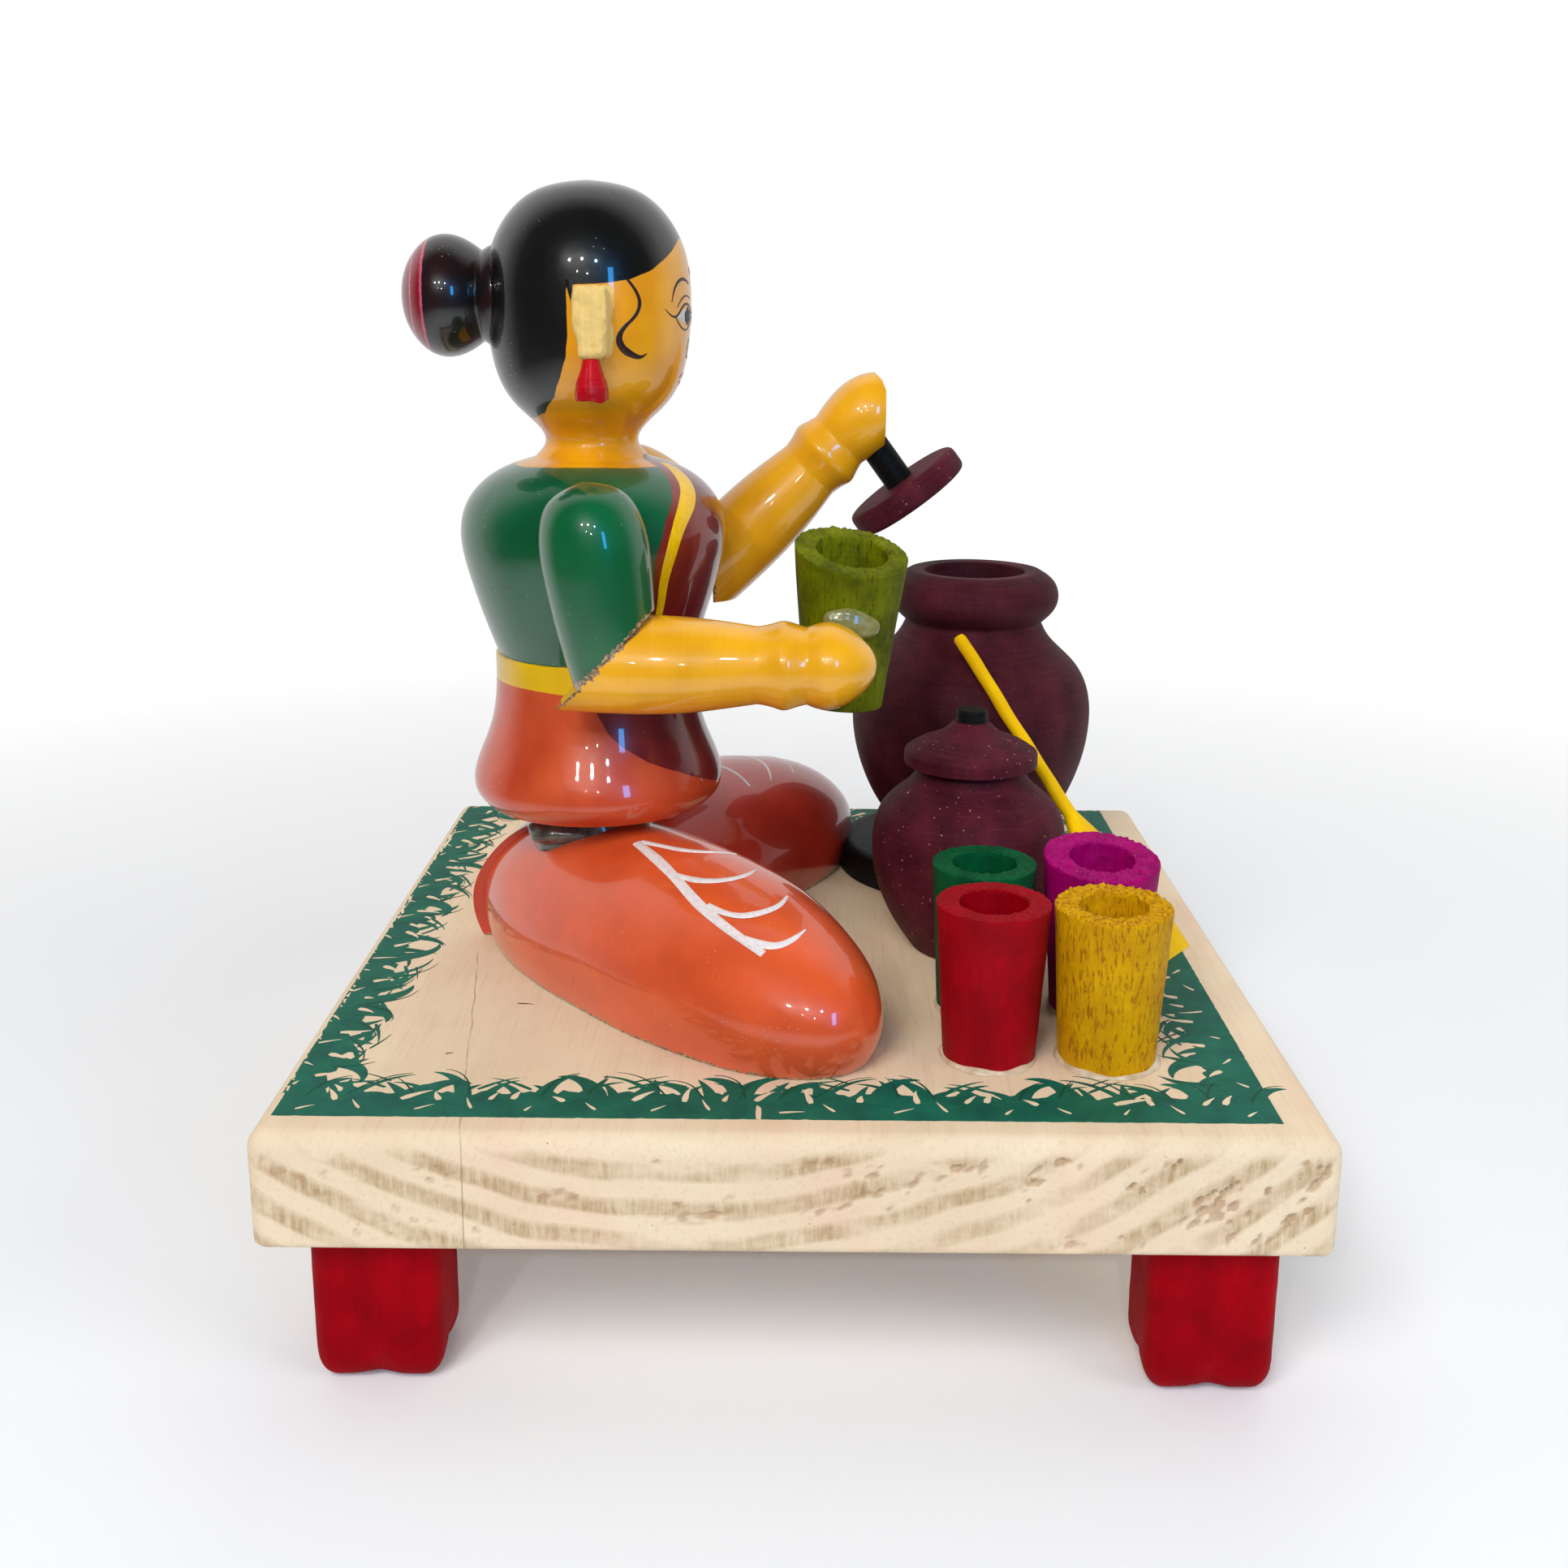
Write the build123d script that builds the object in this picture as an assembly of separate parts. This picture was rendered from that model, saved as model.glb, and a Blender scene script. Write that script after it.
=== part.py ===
from build123d import *
import os
from math import cos, pi

# A lacquered turned-wood doll group. Millimetres, +Z up. The origin is at the bottom centre of the group:
# the feet stand on Z = 0 and the board is centred on X = Y = 0. The woman faces +X; her right side is at -Y.

# Board and feet
BOARD_SIDE = 152.4  # six inches
BOARD_T = 18.0
BOARD_EDGE_R = 3.0
BOARD_CORNER_R = 2.5
BOARD_BOTTOM_R = 1.2
FOOT_H = 24.0
FOOT_W = 18.8
FOOT_D = 15.6
FOOT_X = 60.4
FOOT_Y = {"front_left": -64.1, "front_right": -65.4, "rear_left": 64.4, "rear_right": 64.8}
FOOT_EDGE_R = 3.0
FOOT_TOE_R = 4.5
TOP = FOOT_H + BOARD_T  # height of the board's upper face

# Figure spindle: the axis of head, neck, torso and hips
AXIS_X = -34.6
AXIS_Y = -4.0
HIP_BASE = TOP + 27.2

# Outlines as (radius, height above the board)
HIP_OUTLINE = [(19.3, 27.2), (21.1, 29.2), (19.4, 38.2), (17.6, 44.6), (17.2, 49.4)]
BELT_OUTLINE = [(17.2, 49.4), (17.2, 53.6)]
TORSO_OUTLINE = [
    (16.7, 53.6), (18.5, 58.6), (21.1, 67.0), (22.3, 74.2), (21.4, 78.6), (16.4, 84.0), (9.6, 86.6)
]
HEAD_OUTLINE = [
    (9.6, 86.6), (7.8, 89.0), (12.2, 95.0), (15.9, 102.4), (16.8, 111.0), (15.6, 121.0), (9.0, 129.2),
    (0, 131.3)
]

# Hair bun, turned separately, its axis along -X from the back of the head
BUN_Z = TOP + 112.8
BUN_BARREL = [(8.0, 12.0), (8.4, 15.2), (7.3, 17.4)]
BUN_CROWN = [(7.3, 17.4), (9.2, 20.4), (9.9, 23.2), (9.4, 25.7), (7.6, 28.0), (4.2, 30.0), (0, 30.7)]
BUN_PEG_R = 2.0
BUN_PEG_FROM = 8.0
BUN_PEG_TO = 24.0

# Ears and earrings
EAR_X = -32.3
EAR_SIZE = (5.5, 6.4, 11.1)
EAR_OUT = 16.5  # from the spindle's axis to the middle of the uncut ear block
EAR_BASE = TOP + 103.3
EARRING_OUTLINE = [(1.3, 0.0), (2.1, -2.4), (2.6, -6.6)]
EARRING_OUT = 18.2
EARRING_SIDES = 8

# Arms, in a frame with the shoulder peg at its origin: upper arm down, forearm towards +X
ARM_OUT = 27.5  # from the spindle's axis to the plane of each arm
RIGHT_SHOULDER = (-31.6, 77.0)
LEFT_SHOULDER = (-30.2, 78.0)
LEFT_RAISE = 45.0
UPPER_TILT = 8.0
UPPER_OUTLINE = [(0, 8.3), (5.9, 5.9), (8.3, 0.0), (8.3, -7.0), (7.5, -16.0), (6.0, -27.0)]
ELBOW_Z = -20.2
MITRE_X = 0.6
FOREARM_OUTLINE = [(7.2, -6.0), (7.8, 6.0), (7.4, 16.0), (6.1, 25.5)]
BEAD_OUTLINE = [(6.1, 25.5), (6.6, 28.0), (7.0, 29.6), (6.6, 31.2), (6.0, 33.2)]
FIST_R = 6.7
RIGHT_REACH = 44.2
LEFT_REACH = 48.5
LEFT_FIST_CUT_X = 15.9
SHOULDER_FLAT = 22.6  # from the spindle's axis to each arm's flat inner face
PEG_R = 2.5
PEG_RUNNING = 0.05
PEG_GLUE = 0.02
PEG_IN = 10.0
PEG_OUT = 31.0
DOWEL_R = 1.5
DOWEL_HALF = 5.0

# Cup glued to the right fist, and the big pot's lid on its stem, held by the left hand
HELD_CUP_AT = (7.6, -16.4)
HELD_CUP_BASE = 47.0
HELD_CUP_TILT = 3.0
HELD_CUP = (6.5, 9.3, 25.6, 5.9, 15.0)  # foot radius, rim radius, height, bore radius, bore depth
HELD_CUP_SLANT = (15.0, 5.0)
HELD_CUP_GLUE = (8.4, -26.6, 62.4, 3.3)  # place and radius of the set glue
HELD_LID_R = 11.5
HELD_LID_T = 4.6
HELD_LID_CENTRE = (20.3, 77.8)
HELD_LID_LEAN = 36.5
STEM_R = 2.7
STEM_LEN = 14.0

# Legs: two turned eggs with their undersides cut flat, mitred where they meet behind
LEG_R = 18.9
LEG_HALF = 48.0
LEG_POWER = 2.3
LEG_AXIS_Z = 6.4
LEG_CENTRE = (-21.9, -22.5)
LEG_ANGLE = -48.0
MITRE_Y = -3.0
LEFT_LEG_BACK = 1.8
SEAT_PEG_R = 3.0
SEAT_PEG_DOWN = 12.0
SEAT_PEG_UP = 12.0
SEAT_GLUE_R = 12.0

# Pots
BIG_POT_AT = (34.8, 36.0)
BIG_STAND_AT = (30.6, 37.2)
BIG_STAND_R = 21.4
BIG_STAND_H = 6.2
BIG_BELLY = [(9.5, 6.2), (15.6, 11.2), (20.7, 19.6), (23.3, 30.5), (20.5, 42.4), (14.4, 49.0), (13.2, 51.4)]
BIG_RIM = [(13.2, 51.4), (16.3, 55.2), (15.9, 58.6), (12.6, 61.3)]
BIG_MOUTH_R = 9.6
BIG_INSIDE = [(9.6, 59.6), (9.9, 50.0), (18.6, 38.0), (18.8, 24.0), (11.0, 13.0), (0, 11.0)]
SMALL_POT_AT = (30.6, -5.0)
SMALL_BELLY = [(9.6, 0.0), (14.0, 6.6), (16.9, 18.6), (15.0, 26.4), (10.2, 31.0), (8.9, 33.4)]
SMALL_INSIDE = [(6.6, 33.4), (7.0, 29.6), (12.4, 24.0), (12.8, 14.0), (7.0, 6.0), (0, 5.0)]
SMALL_LID_R = 11.5
SMALL_LID_Z = 33.7
SMALL_LID_TOP = [(11.5, 35.9), (8.8, 37.6), (5.2, 39.2), (3.0, 41.2)]
SPIGOT_R = 6.2
SPIGOT_H = 2.6
KNOB_R = 2.7
KNOB_H = 3.8

# Cups on the board: name, place, foot radius, rim radius, height, slant of the rim about X and Y in degrees
CUPS = [
    ("cup_red", (29.8, -49.3), 7.0, 8.6, 24.7, (0.0, 0.0)),
    ("cup_yellow", (47.7, -50.2), 7.3, 8.8, 24.7, (0.0, 0.0)),
    ("cup_dark_green", (30.4, -31.6), 7.0, 8.4, 24.7, (0.0, 0.0)),
    ("cup_magenta", (49.2, -31.2), 7.4, 9.3, 25.6, (7.0, 2.0)),
]
CUP_BORE_R = 5.2
CUP_BORE_DEPTH = 15.0
CUP_SPARE = 4.0
GLUE_OUT = 1.1
GLUE_H = 1.2

# Paddle, leaning from the board to the big pot's rim
PADDLE_FOOT = (64.4, -12.0)
PADDLE_RISE = (-35.1, 30.0, 52.7)
PADDLE_LEN = 68.5
PADDLE_STICK_R = 1.2
PADDLE_BLADE_LEN = 30.0
PADDLE_BLADE_W = 19.0
PADDLE_BLADE_T = 1.8


# A solid that stands on its own origin, and one that hangs below it
STANDING = (Align.CENTER, Align.CENTER, Align.MIN)
HANGING = (Align.CENTER, Align.CENTER, Align.MAX)


def turned(*segments):
    """Turn an outline about Z. Each segment is a list of (radius, height); two points are a straight run."""
    edges = []
    for points in segments:
        places = [(r, 0, h) for r, h in points]
        edges.append(Line(*places) if len(places) == 2 else Spline(*places))
    start = segments[0][0]
    end = segments[-1][-1]
    if start[0] > 0:
        edges.append(Line((0, 0, start[1]), (start[0], 0, start[1])))
    if end[0] > 0:
        edges.append(Line((end[0], 0, end[1]), (0, 0, end[1])))
    edges.append(Line((0, 0, end[1]), (0, 0, start[1])))
    return revolve(make_face(Curve() + edges), Axis.Z, 360)


def rod(radius, start, end):
    """A round rod between two points."""
    along = Vector(*end) - Vector(*start)
    place = Plane(origin=start, z_dir=along).location
    return place * Cylinder(radius, along.length, align=STANDING)


def side_y(side, distance):
    """Y of a point at a distance from the spindle's axis, on her right (-1) or left (+1) side."""
    return AXIS_Y + side * distance


def base_board():
    board = Pos(0, 0, FOOT_H) * Box(BOARD_SIDE, BOARD_SIDE, BOARD_T, align=STANDING)
    board = fillet(board.edges().filter_by(Axis.Z), BOARD_CORNER_R)
    board = fillet(board.faces().sort_by(Axis.Z)[-1].edges(), BOARD_EDGE_R)
    return fillet(board.faces().sort_by(Axis.Z)[0].edges(), BOARD_BOTTOM_R)


def foot(x, y):
    block = Pos(x, y, 0) * Box(FOOT_W, FOOT_D, FOOT_H, align=STANDING)
    block = fillet(block.edges().filter_by(Axis.Z), FOOT_EDGE_R)
    return fillet(block.faces().sort_by(Axis.Z)[0].edges(), FOOT_TOE_R)


def bun_blank():
    solid = turned(BUN_BARREL, BUN_CROWN)
    return Pos(AXIS_X, AXIS_Y, BUN_Z) * Rot(0, -90, 0) * solid


def bun_peg(clearance=0.0):
    start = (AXIS_X - BUN_PEG_FROM, AXIS_Y, BUN_Z)
    end = (AXIS_X - BUN_PEG_TO, AXIS_Y, BUN_Z)
    return rod(BUN_PEG_R + clearance, start, end)


def figure_blank():
    waist = [BELT_OUTLINE[-1], TORSO_OUTLINE[0]]
    solid = turned(HIP_OUTLINE, BELT_OUTLINE, waist, TORSO_OUTLINE, HEAD_OUTLINE)
    return Pos(AXIS_X, AXIS_Y, TOP) * solid


def shoulder_peg(side, clearance=0.0):
    x, z = RIGHT_SHOULDER if side < 0 else LEFT_SHOULDER
    start = (x, side_y(side, PEG_IN), TOP + z)
    end = (x, side_y(side, PEG_OUT), TOP + z)
    return rod(PEG_R + clearance, start, end)


def seat_peg(clearance=0.0):
    start = (AXIS_X, AXIS_Y, HIP_BASE - SEAT_PEG_DOWN)
    end = (AXIS_X, AXIS_Y, HIP_BASE + SEAT_PEG_UP)
    return rod(SEAT_PEG_R + clearance, start, end)


def ear(side, figure):
    width, depth, height = EAR_SIZE
    place = Pos(EAR_X, side_y(side, EAR_OUT), EAR_BASE)
    block = place * Box(width, depth, height, align=STANDING)
    return fillet(block.edges(), 0.8) - figure


def earring(side):
    outline = EARRING_OUTLINE
    top = RegularPolygon(outline[0][0], EARRING_SIDES)
    middle = Pos(0, 0, outline[1][1]) * RegularPolygon(outline[1][0], EARRING_SIDES)
    hem = Pos(0, 0, outline[2][1]) * RegularPolygon(outline[2][0], EARRING_SIDES)
    drop = loft([top, middle, hem], ruled=True)
    return Pos(EAR_X, side_y(side, EARRING_OUT), EAR_BASE) * drop


def mitre_half(upper):
    """A big block on one side of the elbow's mitre, in the arm's own frame."""
    size = 80
    block = Box(size, size, size, align=(Align.CENTER, Align.CENTER, Align.MIN if upper else Align.MAX))
    return Pos(MITRE_X, 0, ELBOW_Z) * Rot(0, -45, 0) * block


def upper_arm():
    solid = Rot(0, -UPPER_TILT, 0) * turned(UPPER_OUTLINE)
    return solid & mitre_half(True)


def forearm(reach):
    fist = [
        BEAD_OUTLINE[-1], (FIST_R, reach - 7.2), (0.8 * FIST_R, reach - 3.4), (0.36 * FIST_R, reach - 0.6),
        (0, reach)
    ]
    solid = turned(FOREARM_OUTLINE, BEAD_OUTLINE, fist)
    return Pos(0, 0, ELBOW_Z) * Rot(0, 90, 0) * solid & mitre_half(False)


def elbow_dowel(clearance=0.0):
    """A short dowel square to the mitre."""
    solid = Cylinder(DOWEL_R + clearance, 2 * DOWEL_HALF)
    return Pos(MITRE_X + 1.2, 0, ELBOW_Z + 1.2) * Rot(0, -45, 0) * solid


def arm_place(side):
    x, z = RIGHT_SHOULDER if side < 0 else LEFT_SHOULDER
    raised = 0.0 if side < 0 else LEFT_RAISE
    return Pos(x, side_y(side, ARM_OUT), TOP + z) * Rot(0, -raised, 0)


def inner_side(side):
    """Everything nearer the torso than the arm's flat inner face."""
    edge = Align.MIN if side < 0 else Align.MAX
    block = Box(120, 60, 120, align=(Align.CENTER, edge, Align.CENTER))
    return Pos(AXIS_X, side_y(side, SHOULDER_FLAT), TOP + 70) * block


def place_upper_arm(side):
    arm = arm_place(side) * (upper_arm() - elbow_dowel(PEG_GLUE))
    return arm - inner_side(side) - shoulder_peg(side, PEG_RUNNING)


def right_forearm():
    return arm_place(-1) * (forearm(RIGHT_REACH) - elbow_dowel(PEG_GLUE)) - held_cup_blank(0.02)


def left_forearm():
    arm = arm_place(1) * (forearm(LEFT_REACH) - elbow_dowel(PEG_GLUE))
    ahead = (Align.MIN, Align.CENTER, Align.CENTER)
    beyond = Pos(LEFT_FIST_CUT_X, 0, TOP + 90) * Box(40, 120, 80, align=ahead)
    return arm - beyond - held_lid_stem(PEG_GLUE)


def tapered(foot_r, rim_r, height):
    """A tapered blank, longer than the cup by CUP_SPARE so that its rim can be cut at a slant."""
    spare_r = (rim_r - foot_r) * CUP_SPARE / height
    return Cone(foot_r, rim_r + spare_r, height + CUP_SPARE, align=STANDING)


def cup(foot_r, rim_r, height, bore_r, depth, slant):
    """A tapered cup with a straight bore and a rim that is cut at a slant, standing on its own origin."""
    body = tapered(foot_r, rim_r, height)
    bore_len = depth + 2 * CUP_SPARE
    bore = Pos(0, 0, height - depth) * Cylinder(bore_r, bore_len, align=STANDING)
    above = Pos(0, 0, height) * Rot(*slant, 0) * Box(60, 60, 20, align=STANDING)
    return body - bore - above


def held_cup_place():
    return Pos(HELD_CUP_AT[0], HELD_CUP_AT[1], TOP + HELD_CUP_BASE) * Rot(0, HELD_CUP_TILT, 0)


def held_cup():
    foot_r, rim_r, height, bore_r, depth = HELD_CUP
    return held_cup_place() * cup(foot_r, rim_r, height, bore_r, depth, HELD_CUP_SLANT)


def held_cup_blank(clearance):
    foot_r, rim_r, height, bore_r, depth = HELD_CUP
    return held_cup_place() * tapered(foot_r + clearance, rim_r + clearance, height)


def held_cup_glue():
    """A flat blob of set glue in the corner between the cup and the top of the fist."""
    x, y, z, radius = HELD_CUP_GLUE
    blob = Pos(x, y, TOP + z) * Sphere(radius)
    return blob - held_cup_blank(0.0) - right_forearm()


def lid_place():
    x, z = HELD_LID_CENTRE
    return Pos(x, side_y(1, ARM_OUT), TOP + z) * Rot(0, -HELD_LID_LEAN, 0)


def held_lid():
    disc = Cylinder(HELD_LID_R, HELD_LID_T)
    disc = fillet(disc.edges(), 1.2)
    return lid_place() * (disc - Pos(0, 0, 0.3) * Cylinder(STEM_R + PEG_GLUE, HELD_LID_T))


def held_lid_stem(clearance=0.0):
    stem = Pos(0, 0, 0.8 - HELD_LID_T / 2 + 1.0)
    return lid_place() * stem * Cylinder(STEM_R + clearance, STEM_LEN, align=STANDING)


def leg_egg():
    """A whole turned egg along X, by the superellipse r = R (1 - |t| ** power) ** 0.5."""
    steps = 14
    outline = []
    for i in range(steps + 1):
        t = -cos(pi * i / steps)
        outline.append((LEG_R * max(0.0, 1 - abs(t) ** LEG_POWER) ** 0.5, LEG_HALF * t))
    return Rot(0, 90, 0) * turned(outline)


def right_leg_blank():
    x, y = LEG_CENTRE
    egg = Pos(x, y, TOP + LEG_AXIS_Z) * Rot(0, 0, LEG_ANGLE) * leg_egg()
    above_board = Pos(0, 0, TOP) * Box(300, 300, 100, align=STANDING)
    near_side = Pos(0, MITRE_Y, TOP) * Box(300, 300, 100, align=(Align.CENTER, Align.MAX, Align.MIN))
    return egg & above_board & near_side


def right_leg():
    return right_leg_blank() - seat_peg(PEG_GLUE)


def left_leg():
    mitre = Plane.XZ.offset(-MITRE_Y)
    return Pos(-LEFT_LEG_BACK, 0, 0) * mirror(right_leg_blank(), about=mitre) - seat_peg(PEG_GLUE)


def seat_glue(legs):
    """The set glue that fills the gap between the legs and the underside of the hips."""
    pad = Pos(AXIS_X - 1, AXIS_Y - 3, HIP_BASE) * Cylinder(SEAT_GLUE_R, 9, align=HANGING)
    return pad - legs[0] - legs[1] - seat_peg(PEG_GLUE)


def big_pot():
    x, y = BIG_POT_AT
    inside = turned(BIG_INSIDE)
    mouth = Pos(0, 0, 59.5) * Cylinder(BIG_MOUTH_R, 4, align=STANDING)
    return Pos(x, y, TOP) * (turned(BIG_BELLY, BIG_RIM) - inside - mouth)


def big_pot_stand():
    x, y = BIG_STAND_AT
    drum = Pos(x, y, TOP) * Cylinder(BIG_STAND_R, BIG_STAND_H, align=STANDING)
    return fillet(drum.edges().sort_by(Axis.Z)[-1], 1.6)


def small_pot():
    x, y = SMALL_POT_AT
    return Pos(x, y, TOP) * (turned(SMALL_BELLY) - turned(SMALL_INSIDE))


def small_pot_lid():
    x, y = SMALL_POT_AT
    rim = [(SMALL_LID_R, SMALL_LID_Z), SMALL_LID_TOP[0]]
    lid = turned([(SPIGOT_R, SMALL_LID_Z - SPIGOT_H), (SPIGOT_R, SMALL_LID_Z)],
                 [(SPIGOT_R, SMALL_LID_Z), (SMALL_LID_R, SMALL_LID_Z)], rim, SMALL_LID_TOP)
    return Pos(x, y, TOP) * (lid - small_knob_blank(PEG_GLUE))


def small_knob_blank(clearance=0.0):
    low = SMALL_LID_TOP[-1][1] - 1.6
    return Pos(0, 0, low) * Cylinder(KNOB_R + clearance, KNOB_H + 1.6, align=STANDING)


def small_pot_knob():
    x, y = SMALL_POT_AT
    knob = small_knob_blank()
    return Pos(x, y, TOP) * fillet(knob.edges().sort_by(Axis.Z)[-1], 0.6)


def cup_glue(place, foot_r, rim_r, height):
    """A low ring of set glue round a cup's foot."""
    ring = Cone(foot_r + GLUE_OUT, foot_r + GLUE_OUT / 3, GLUE_H, align=STANDING)
    return Pos(place[0], place[1], TOP) * (ring - tapered(foot_r + PEG_GLUE, rim_r + PEG_GLUE, height))


def paddle():
    """A round stick that ends in a thin blade, flared to its full width at the board."""
    rise = Vector(*PADDLE_RISE).normalized()
    across = Vector(0, 0, 1).cross(rise).normalized()
    place = Plane(origin=(PADDLE_FOOT[0], PADDLE_FOOT[1], TOP), x_dir=across, z_dir=rise).location
    stick_from = PADDLE_BLADE_LEN - 4
    stick = Pos(0, 0, stick_from) * Cylinder(
        PADDLE_STICK_R, PADDLE_LEN - stick_from, align=STANDING
    )
    half = PADDLE_BLADE_W / 2
    tip = (PADDLE_STICK_R, 0, PADDLE_BLADE_LEN)
    right = Spline((half, 0, -3), (half - 0.6, 0, 12), (half - 4.4, 0, 23), tip)
    left = mirror(right, about=Plane.YZ)
    low = Line((-half, 0, -3), (half, 0, -3))
    high = Line((-PADDLE_STICK_R, 0, PADDLE_BLADE_LEN), (PADDLE_STICK_R, 0, PADDLE_BLADE_LEN))
    blade = extrude(make_face(Curve() + [right, left, low, high]), amount=PADDLE_BLADE_T / 2, both=True)
    under = Pos(PADDLE_FOOT[0], PADDLE_FOOT[1], TOP) * Box(60, 60, 20, align=HANGING)
    return place * (stick + blade) - under


def save(name, shape):
    shape.label = name
    export_step(shape, f"parts/{name}.step")


def main():
    os.makedirs("parts", exist_ok=True)
    save("base_board", base_board())
    for corner, y in FOOT_Y.items():
        x = -FOOT_X if corner.endswith("left") else FOOT_X
        save(f"foot_{corner}", foot(x, y))

    blank = figure_blank()
    figure = blank - bun_peg(PEG_GLUE) - seat_peg(PEG_GLUE)
    for side in (-1, 1):
        figure = figure - shoulder_peg(side, PEG_GLUE)
    save("figure_spindle", figure)
    save("hair_bun", bun_blank() - blank - bun_peg(PEG_GLUE))
    save("hair_bun_dowel", bun_peg())
    for name, side in (("right", -1), ("left", 1)):
        save(f"{name}_ear", ear(side, blank))
        save(f"{name}_earring", earring(side))
        save(f"{name}_shoulder_peg", shoulder_peg(side))
        save(f"{name}_upper_arm", place_upper_arm(side))
        save(f"{name}_elbow_dowel", arm_place(side) * elbow_dowel())
    save("right_forearm", right_forearm())
    save("left_forearm", left_forearm())
    save("held_cup", held_cup())
    save("held_cup_glue", held_cup_glue())
    save("held_lid", held_lid())
    save("held_lid_stem", held_lid_stem())

    legs = (right_leg(), left_leg())
    save("right_leg", legs[0])
    save("left_leg", legs[1])
    save("seat_peg", seat_peg())
    save("seat_glue", seat_glue(legs))

    save("big_pot", big_pot())
    save("big_pot_stand", big_pot_stand())
    save("small_pot", small_pot())
    save("small_pot_lid", small_pot_lid())
    save("small_pot_knob", small_pot_knob())
    for name, place, foot_r, rim_r, height, slant in CUPS:
        body = cup(foot_r, rim_r, height, CUP_BORE_R, CUP_BORE_DEPTH, slant)
        save(name, Pos(place[0], place[1], TOP) * body)
        save(f"{name}_glue", cup_glue(place, foot_r, rim_r, height))
    save("paddle", paddle())


main()
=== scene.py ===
from math import atan2, copysign, cos, degrees, hypot, pi, radians, sin

import bmesh
import bpy
import numpy as np
from mathutils import Matrix, Vector, noise


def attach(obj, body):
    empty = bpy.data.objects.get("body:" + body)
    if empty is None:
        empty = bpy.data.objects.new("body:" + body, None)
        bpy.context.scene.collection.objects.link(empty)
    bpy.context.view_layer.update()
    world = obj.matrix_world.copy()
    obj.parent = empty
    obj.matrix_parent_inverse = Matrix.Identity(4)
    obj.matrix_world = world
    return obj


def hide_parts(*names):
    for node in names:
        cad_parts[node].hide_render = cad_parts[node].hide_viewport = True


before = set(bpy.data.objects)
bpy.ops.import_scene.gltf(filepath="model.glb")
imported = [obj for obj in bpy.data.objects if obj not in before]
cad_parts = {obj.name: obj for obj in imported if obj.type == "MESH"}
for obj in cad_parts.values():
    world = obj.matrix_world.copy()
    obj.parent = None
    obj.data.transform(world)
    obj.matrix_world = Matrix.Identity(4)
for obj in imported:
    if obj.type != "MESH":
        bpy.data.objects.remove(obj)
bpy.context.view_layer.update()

# The looks of a lacquered turned-wood doll group. Outlines are worked in millimetres and scaled once, when a
# mesh is made. Their heights are above the board's upper face, as in the part's source.
noise.seed_set(1)  # noise_vector takes its offsets from the clock if it isn't seeded
MM = 0.001
TOP = 42.0
EDGE = 76.2
BOARD_THICK = 18.0
ROLL = 2.5  # how far in from its edges the board's upper face starts to roll over
AXIS = (-34.6, -4.0)
GAP = 0.03  # what is left free between pieces that stand on or against each other


# Shapes

def bump(x, y, z):
    """Smooth noise from about -1 to 1."""
    return noise.noise(Vector((x, y, z)))


def smooth(points, steps):
    """Points along a natural cubic through the outline's points."""
    p = np.array(points, float)
    reach = np.concatenate([[0], np.cumsum(np.linalg.norm(np.diff(p, axis=0), axis=1))])
    want = np.linspace(0, reach[-1], steps)
    if len(p) == 2:
        return np.stack([np.interp(want, reach, p[:, k]) for k in range(p.shape[1])], axis=1)
    n = len(p)
    h = np.diff(reach)
    system = np.eye(n)
    right = np.zeros((n, p.shape[1]))
    for i in range(1, n - 1):
        system[i, i - 1:i + 2] = (h[i - 1], 2 * (h[i - 1] + h[i]), h[i])
        right[i] = 6 * ((p[i + 1] - p[i]) / h[i] - (p[i] - p[i - 1]) / h[i - 1])
    m = np.linalg.solve(system, right)
    i = np.clip(np.searchsorted(reach, want, side="right") - 1, 0, n - 2)
    a = ((reach[i + 1] - want) / h[i])[:, None]
    b = 1 - a
    hh = (h[i] ** 2)[:, None] / 6
    return a * p[i] + b * p[i + 1] + ((a ** 3 - a) * m[i] + (b ** 3 - b) * m[i + 1]) * hh


def outline(segments, step, ease=0.22):
    """One run of (radius, height) points through the segments, with the corners between them just eased."""
    runs = []
    for points in segments:
        length = np.linalg.norm(np.diff(np.array(points, float), axis=0), axis=1).sum()
        runs.append(smooth(points, max(3, int(length / step) + 2)))
    for before, after in zip(runs, runs[1:]):
        corner = before[-1].copy()
        back = before[-2] - corner
        on = after[1] - corner
        before[-1] = corner + back * min(0.45, ease / max(np.linalg.norm(back), 1e-6))
        after[0] = corner + on * min(0.45, ease / max(np.linalg.norm(on), 1e-6))
    run = np.concatenate(runs)
    run[:, 0] = np.maximum(run[:, 0], 0)
    return run


def loft(rings, closed=False):
    """Vertices and faces through rings of points. An end that isn't a single point gets a fan."""
    verts, faces, firsts = [], [], []
    for ring in rings:
        single = np.ptp(ring, axis=0).max() < 1e-5
        firsts.append((len(verts), 1 if single else len(ring)))
        verts.extend(ring[:1] if single else ring)
    pairs = list(zip(firsts, firsts[1:]))
    if closed:
        pairs.append((firsts[-1], firsts[0]))
    for (a, na), (b, nb) in pairs:
        for k in range(max(na, nb)):
            j = (k + 1) % max(na, nb)
            if na == 1:
                faces.append((a, b + k, b + j))
            elif nb == 1:
                faces.append((a + k, b, a + j))
            else:
                faces.append((a + k, b + k, b + j, a + j))
    for end in (() if closed else (0, -1)):
        a, n = firsts[end]
        if n > 1:
            middle = len(verts)
            verts.append(np.array(verts[a:a + n]).mean(axis=0))
            for k in range(n):
                faces.append((middle, a + k, a + (k + 1) % n))
    return np.array(verts, float), faces


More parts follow.
